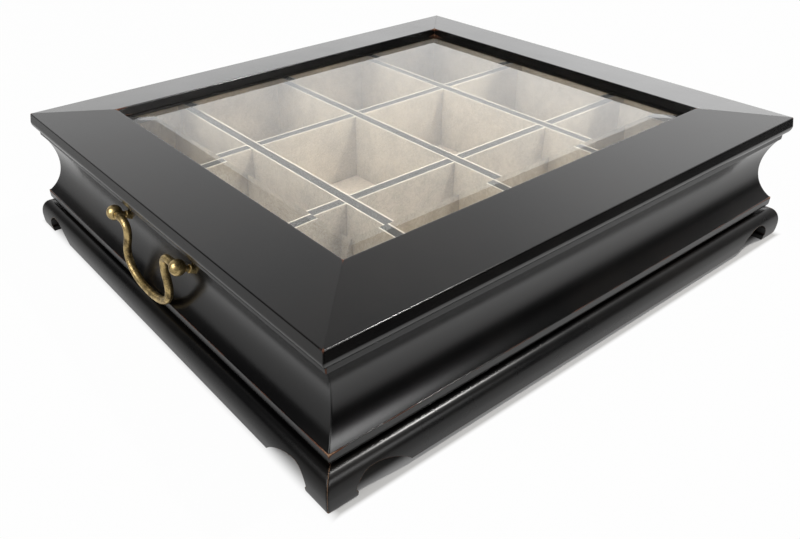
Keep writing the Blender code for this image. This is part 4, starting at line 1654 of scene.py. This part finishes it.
@dataclass
class Handle(Assembly):
    """A swan-neck bail that swings in two ball-headed posts on an end wall."""

    outwards: float
    spacing: float = 0.0835
    ball: float = 0.0049
    ball_inset: float = 0.0004
    pivot: float = 0.0654
    rake: float = 28.0
    neck: float = 0.0019
    stem: float = 0.0025
    stem_front: float = 0.0071
    stem_end: float = 0.0196
    stem_ease: float = 0.0003
    wire: float = 0.0025
    wire_fit: float = 0.00025
    wire_steps: int = 28
    hole_steps: int = 32
    end_reach: float = 0.002
    neck_ease: float = 0.6
    sway_ease: float = 0.7
    bottom_ease: float = 0.62
    straight: float = 0.0105
    shoulder: float = 0.0242
    shoulder_drop: float = 0.0065
    belly: float = 0.028
    belly_drop: float = 0.021
    drop: float = 0.0365
    rest_gap: float = 0.0004

    @property
    def label(self) -> str:
        """Name of the end that it is on."""
        return "left" if self.outwards < 0 else "right"

    @property
    def reach(self) -> float:
        """X of the pivots."""
        return self.outwards * (PLAN.width / 2 - self.ball_inset)

    def wire_line(self) -> Array:
        """Middle line of the bail: cubic curves through its end, neck, shoulder, belly and lowest point.

        Returns:
            Distance from the middle and height against the pivots, one point a row, from end to end.
        """
        end, neck = self.spacing / 2 + PLAN.fit, self.spacing / 2 - self.straight
        sway, bow = (self.belly_drop - self.shoulder_drop) / 2, self.drop - self.belly_drop
        shoulder, belly = (self.shoulder, -self.shoulder_drop), (self.belly, -self.belly_drop)
        knots = np.array([(end, 0), (neck, 0), shoulder, belly, (0, -self.drop)])
        turned_out, swayed = (neck - self.shoulder) * self.neck_ease, sway * self.sway_ease
        leave = np.array([(-self.end_reach, 0), (-turned_out, 0), (0, -swayed), (0, -bow * self.bottom_ease)])
        rise, bottom = self.shoulder_drop * self.neck_ease, self.belly * self.bottom_ease
        arrive = np.array([(self.end_reach, 0), (0, rise), (0, swayed), (bottom, 0)])
        share = np.linspace(0.0, 1.0, 25)[:-1, None, None]
        first, last = knots[:-1], knots[1:]
        curve = first * (1 - share) ** 3 + 3 * (first + leave) * share * (1 - share) ** 2
        curve = curve + 3 * (last + arrive) * share**2 * (1 - share) + last * share**3
        half = np.vstack([curve.transpose(1, 0, 2).reshape(-1, 2), knots[-1:]])
        return np.vstack([half, half[-2::-1] * np.array([-1.0, 1.0])])

    def bail(self) -> Surface:
        """The wire: a circle carried along the middle line, square to it, then leant in to hang by the lip.

        Returns:
            The surface, closed at both ends.
        """
        line = self.wire_line()
        ahead = np.gradient(line, axis=0)
        ahead /= np.linalg.norm(ahead, axis=1)[:, None]
        side = np.stack([-ahead[:, 1], ahead[:, 0]], axis=1)
        angle = np.linspace(0.0, 2 * math.pi, self.wire_steps, endpoint=False)
        flat = line[:, None] + self.wire * np.cos(angle)[:, None] * side[:, None]
        away = self.wire * np.sin(angle)
        lean = math.asin((self.ball_inset - PLAN.lip_inset + self.wire + self.rest_gap) / self.drop)
        sine, cosine = math.sin(lean) * self.outwards, math.cos(lean)
        x = self.reach + away * cosine - flat[..., 1] * sine
        z = self.pivot + away * sine + flat[..., 1] * cosine
        return Surface.plain(np.stack([x, flat[..., 0], z], axis=-1))

    def post(self, end: str, towards: float) -> Piece:
        """One raked post: a ball on a neck, and a thicker stem into the wall, with a cross hole for the bail.

        Args:
            end: front or back.
            towards: -1 for the front post and 1 for the back one.

        Returns:
            The piece.
        """
        last = math.pi - math.asin(self.neck / self.ball)
        angle = np.linspace(0.0, last, 30)
        sphere = np.stack([self.ball * np.sin(angle), self.ball * np.cos(angle)], axis=1)
        front, ease = -self.stem_front, self.stem_ease * np.array([1.0, 0.5, 0.0])
        round_off = np.stack([self.stem - ease, front - ease[::-1]], axis=1)
        stem = [(self.neck, front), *round_off, (self.stem, -self.stem_end), (0.0, -self.stem_end)]
        centre = (self.reach, towards * self.spacing / 2, self.pivot)
        rake = math.radians(self.rake)
        axis = np.array([self.outwards * math.cos(rake), 0.0, math.sin(rake)])
        post = turned(np.vstack([sphere, stem]), centre, axis).to_object(f"brass_post_{self.label}_{end}")
        depth = (-2 * PLAN.fit, self.ball + 2 * PLAN.fit)
        inwards = np.array([0.0, -towards, 0.0])
        hole = rod(self.wire + self.wire_fit, depth, centre, inwards, self.hole_steps)
        return carve(post, [hole.to_object(f"bail_hole_{self.label}_{end}")])

    def build(self) -> None:
        """Builds the bail and both posts."""
        body = Body.LEFT_BAIL if self.outwards < 0 else Body.RIGHT_BAIL
        bail = self.bail().to_object(f"brass_bail_{self.label}")
        self.put(bail, body, Slot.BRASS, (f"{self.label}_bail",))
        for end, towards in (("front", -1.0), ("back", 1.0)):
            post = self.post(end, towards)
            self.put(post, Body.CASE, Slot.BRASS, (f"handle_post_{self.label}_{end}",))


@dataclass(frozen=True)
class Lamp:
    """A soft lamp, an ellipse of the given width and height, that faces the middle of the case."""

    name: str
    towards: Vector
    distance: float
    size: tuple[float, float]
    power: float
    colour: Colour = WHITE

    def light(self) -> None:
        """Hangs the lamp."""
        data = bpy.data.lights.new(self.name, "AREA")
        data.shape = "ELLIPSE"
        data.size, data.size_y = self.size
        data.energy = self.power
        data.color = self.colour
        obj = bpy.data.objects.new(self.name, data)
        direction = np.array(self.towards) / np.linalg.norm(self.towards)
        obj.location = direction * self.distance
        heading = math.atan2(direction[1], direction[0]) + math.pi / 2
        obj.rotation_euler = (math.acos(direction[2]), 0.0, heading)
        obj.visible_camera = False
        bpy.context.scene.collection.objects.link(obj)


@dataclass(frozen=True)
class Patch:
    """A soft bright patch of the room, which shows in gloss.

    Attributes:
        towards: the direction of its middle.
        likeness: likeness to that direction where the patch starts, and where it is full.
        strength: its brightness.
    """

    towards: Vector
    likeness: Span
    strength: float

    def shine(self, sheet: NodeSheet, heading: Socket) -> Socket:
        """Brightness of the patch for a heading.

        Args:
            sheet: the world's nodes.
            heading: the direction that is looked in.

        Returns:
            0 outside the patch, rising to its strength in the middle.
        """
        middle = tuple(np.array(self.towards) / np.linalg.norm(self.towards))
        near = sheet.between(sheet.likeness(heading, middle), *self.likeness)
        return sheet.times(near, self.strength)


@dataclass(frozen=True)
class Studio:
    """White floor, soft room light, lamps and the camera at the photographed angle.

    Attributes:
        floor_reach: half the width of the floor.
        floor_colour: grey matt colour of the floor near the case, where the lamps' real shadows show; its
            grey
        also paints shade into the band along the base.
        floor_dark: colour of the floor where it goes dark in gloss.
        floor_white: white share of the floor away from the case, as the camera sees it.
        floor_gloss: how much of that share shows in gloss.
        under_rail_painted_light: how much of that share shows under the rails at the front and back: painted
            light that lifts the floor's shadow there.
        white_under: the same past its front and back, for that painted light under the rails.
        white_ends: distance past the lid's ends at which the floor starts to be white, and is white.
        white_under: the same past its front and back, for the share under the rails.
        white_sides: the same past its front and back, for the whole share.
        white_gloss: the same past its front and back, in gloss.
        dark_front: distance before the middle at which the floor starts to go dark in gloss, and is dark.
        dark_left: the same to the left of the middle.
        dark_left_share: how dark it goes at the left.
        room: strength of the room light.
        wall: the bright wall that shows in gloss, level with the eye.
        wall_dark: brightness of the room opposite that wall, as a share.
        wall_rise: height of a heading at which the wall starts to fall off, and where it ends.
        wall_fall: brightness at those heights.
        patches: other bright parts of the room.
        lamps: the lamps.
        eye: place of the camera.
        turn: its turn in degrees.
        focal: its focal length in pixels.
        principal: pixel that it looks straight at.
        frame: width and height of the picture in pixels.
        sensor: width of its sensor in millimetres.
        clip: nearest and farthest distance that it shows.
    """

    floor_reach: float = 12.0
    floor_colour: Colour = (0.52, 0.515, 0.505)
    floor_dark: Colour = (0.02, 0.02, 0.02)
    floor_white: float = 0.98
    floor_gloss: float = 0.72
    under_rail_painted_light: float = 0.2
    white_ends: Span = (-0.002, 0.009)
    white_under: Span = (-0.001, 0.006)
    white_sides: Span = (0.0078, 0.0118)
    white_gloss: Span = (-0.006, 0.012)
    dark_front: Span = (0.235, 0.34)
    dark_left: Span = (0.19, 0.27)
    dark_left_share: float = 0.42
    room: float = 0.11
    wall: Patch = Patch((0.77, 0.64, 0.0), (0.12, 0.95), 1.0)
    wall_dark: float = 0.015
    wall_rise: Span = (0.34, 0.82)
    wall_fall: Span = (1.42, 0.30)
    patches: tuple[Patch, ...] = (
        Patch((0.905, 0.294, 0.309), (0.90, 0.99), 0.48),
        Patch((0.432, -0.412, 0.804), (0.93, 0.995), 0.9),
        Patch((-0.742, -0.52, 0.423), (0.55, 0.95), 0.25),
        Patch((0.40, -0.84, 0.365), (0.983, 0.999), 5.0),
        Patch((0.26, -0.895, 0.365), (0.983, 0.999), 4.0),
        Patch((0.11, -0.925, 0.365), (0.983, 0.999), 3.0),
    )
    lamps: tuple[Lamp, ...] = (
        Lamp("key_lamp", (0.42, -0.22, 0.88), 1.7, (0.09, 0.09), 20.0, (1.0, 0.985, 0.96)),
        Lamp("left_lamp", (-0.80, 0.05, 0.58), 1.9, (1.4, 1.4), 17.0),
    )
    eye: Vector = (-0.34454, -0.39155, 0.29359)
    turn: Vector = (56.8966, 0.7955, -38.8904)
    focal: float = 779.15
    principal: tuple[float, float] = (366.92, 277.75)
    frame: tuple[int, int] = (800, 539)
    sensor: float = 36.0
    clip: Span = (0.02, 100.0)

    def floor_material(self) -> Material:
        """A white floor that keeps the shadows near the case and shows nearly white to the camera.

        The white share starts at the foot of the base and is full a little way out. Nearer the case the floor
        shows its grey matt colour, so the band along the base holds the lamps' real shadows and painted shade
        from that grey, and under the rails at the front and back a small white share is painted light in
        their shadow. In gloss the white share starts nearer the base, and the floor goes dark some way before
        the front, as the edge of a table does, and partly dark at the left.

        Returns:
            The material.
        """
        sheet = NodeSheet(bpy.data.materials.new("white_floor"))
        # Near the case the floor shows this grey matt colour: real shadows from the lamps, and painted shade
        # from the grey itself in the band along the base.
        matt = sheet.add("ShaderNodeBsdfDiffuse", {"Color": self.floor_colour})
        white = sheet.add("ShaderNodeEmission", {"Color": WHITE, "Strength": 1.0})
        dark = sheet.add("ShaderNodeBsdfDiffuse", {"Color": self.floor_dark})
        path = sheet.add("ShaderNodeLightPath").outputs
        camera, glossy, through = (path[f"Is {kind} Ray"] for kind in ("Camera", "Glossy", "Transmission"))
        x, y, _ = sheet.axes(sheet.place())
        beside = sheet.math("SUBTRACT", sheet.math("ABSOLUTE", x), PLAN.width / 2)
        before = sheet.math("SUBTRACT", sheet.math("ABSOLUTE", y), PLAN.depth / 2)
        ends = sheet.between(beside, *self.white_ends)
        # A small white share under the rails at the front and back is painted light that lifts the floor's
        # shadow there.
        under = sheet.times(sheet.between(before, *self.white_under), self.under_rail_painted_light)
        away = sheet.highest(ends, under, sheet.between(before, *self.white_sides))
        near = sheet.highest(ends, sheet.between(before, *self.white_gloss))
        seen = sheet.times(sheet.highest(camera, through), away)
        gloss = sheet.times(glossy, self.floor_gloss, near)
        share = sheet.times(sheet.highest(seen, gloss), self.floor_white)
        shown = sheet.mix_shaders(share, matt, white)
        front = sheet.between(sheet.times(y, -1.0), *self.dark_front)
        left = sheet.between(sheet.times(x, -1.0), *self.dark_left)
        edge = sheet.highest(front, sheet.times(left, self.dark_left_share))
        mirrored = sheet.times(sheet.math("SUBTRACT", 1.0, through), glossy)
        return sheet.finish(sheet.mix_shaders(sheet.times(mirrored, edge), shown, dark))

    def lay_floor(self) -> None:
        """Lays the floor, a wide square."""
        reach = self.floor_reach
        corners = [(-reach, -reach, 0), (reach, -reach, 0), (reach, reach, 0), (-reach, reach, 0)]
        mesh = bpy.data.meshes.new("floor")
        mesh.from_pydata(corners, [], [(0, 1, 2, 3)])
        mesh.materials.append(self.floor_material())
        floor = bpy.data.objects.new("floor", mesh)
        bpy.context.scene.collection.objects.link(floor)

    def light_room(self) -> None:
        """Lights the room evenly, and shows a white background to the camera and through glass.

        In gloss the background is white towards the back right, as beside a window wall, and falls off
        upwards and towards the left. Soft patches add the brightest part of the window, a pale ceiling, a
        pale wall at the left and a row of small windows at the front.
        """
        world = bpy.data.worlds.new("room")
        bpy.context.scene.world = world
        sheet = NodeSheet(world)
        place = sheet.add("ShaderNodeTexCoord").outputs["Generated"]
        flat = sheet.add("ShaderNodeVectorMath", {0: place, 1: (1.0, 1.0, 0.0)}, operation="MULTIPLY")
        level = sheet.add("ShaderNodeVectorMath", {0: flat.outputs[0]}, operation="NORMALIZE").outputs[0]
        heights = dict(enumerate((sheet.axes(place)[2], *self.wall_rise, *self.wall_fall)))
        height = sheet.add("ShaderNodeMapRange", heights).outputs[0]
        wall = sheet.span(self.wall.shine(sheet, level), self.wall_dark, 1.0)
        gloss = sheet.times(height, wall)
        for patch in self.patches:
            gloss = sheet.math("ADD", gloss, patch.shine(sheet, place))
        path = sheet.add("ShaderNodeLightPath").outputs
        seen = sheet.highest(path["Is Camera Ray"], path["Is Transmission Ray"])
        lit = sheet.mix_numbers(path["Is Glossy Ray"], self.room, gloss)
        inputs = {"Color": WHITE, "Strength": sheet.mix_numbers(seen, lit, 1.0)}
        sheet.finish(sheet.add("ShaderNodeBackground", inputs))

    def set_camera(self) -> None:
        """Sets the camera where the photograph was taken, with the photograph's centre as a small shift."""
        data = bpy.data.cameras.new("camera")
        width, height = self.frame
        data.sensor_width = self.sensor
        data.lens = self.focal * self.sensor / width
        data.shift_x = (width / 2 - self.principal[0]) / width
        data.shift_y = (self.principal[1] - height / 2) / width
        data.clip_start, data.clip_end = self.clip
        camera = bpy.data.objects.new("camera", data)
        camera.location = self.eye
        camera.rotation_euler = Euler([math.radians(angle) for angle in self.turn])
        bpy.context.scene.collection.objects.link(camera)
        bpy.context.scene.camera = camera

    def build(self) -> None:
        """Sets up the floor, light and camera."""
        bpy.context.scene.view_settings.view_transform = "Standard"
        self.lay_floor()
        self.light_room()
        for lamp in self.lamps:
            lamp.light()
        self.set_camera()


def main() -> None:
    """Loads the frame and builds every sub-assembly and the studio."""
    logging.basicConfig(level=logging.INFO, format="%(name)s %(message)s")
    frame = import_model()
    rack = FinishRack()
    hinges = Hinges(frame, rack)
    assemblies = [
        Base(frame, rack),
        Case(frame, rack, hinges),
        Linings(frame, rack),
        Lid(frame, rack, hinges),
        hinges,
        Handle(frame, rack, outwards=-1.0),
        Handle(frame, rack, outwards=1.0),
    ]
    for assembly in assemblies:
        assembly.build()
    Studio().build()


if __name__ == "__main__":
    main()
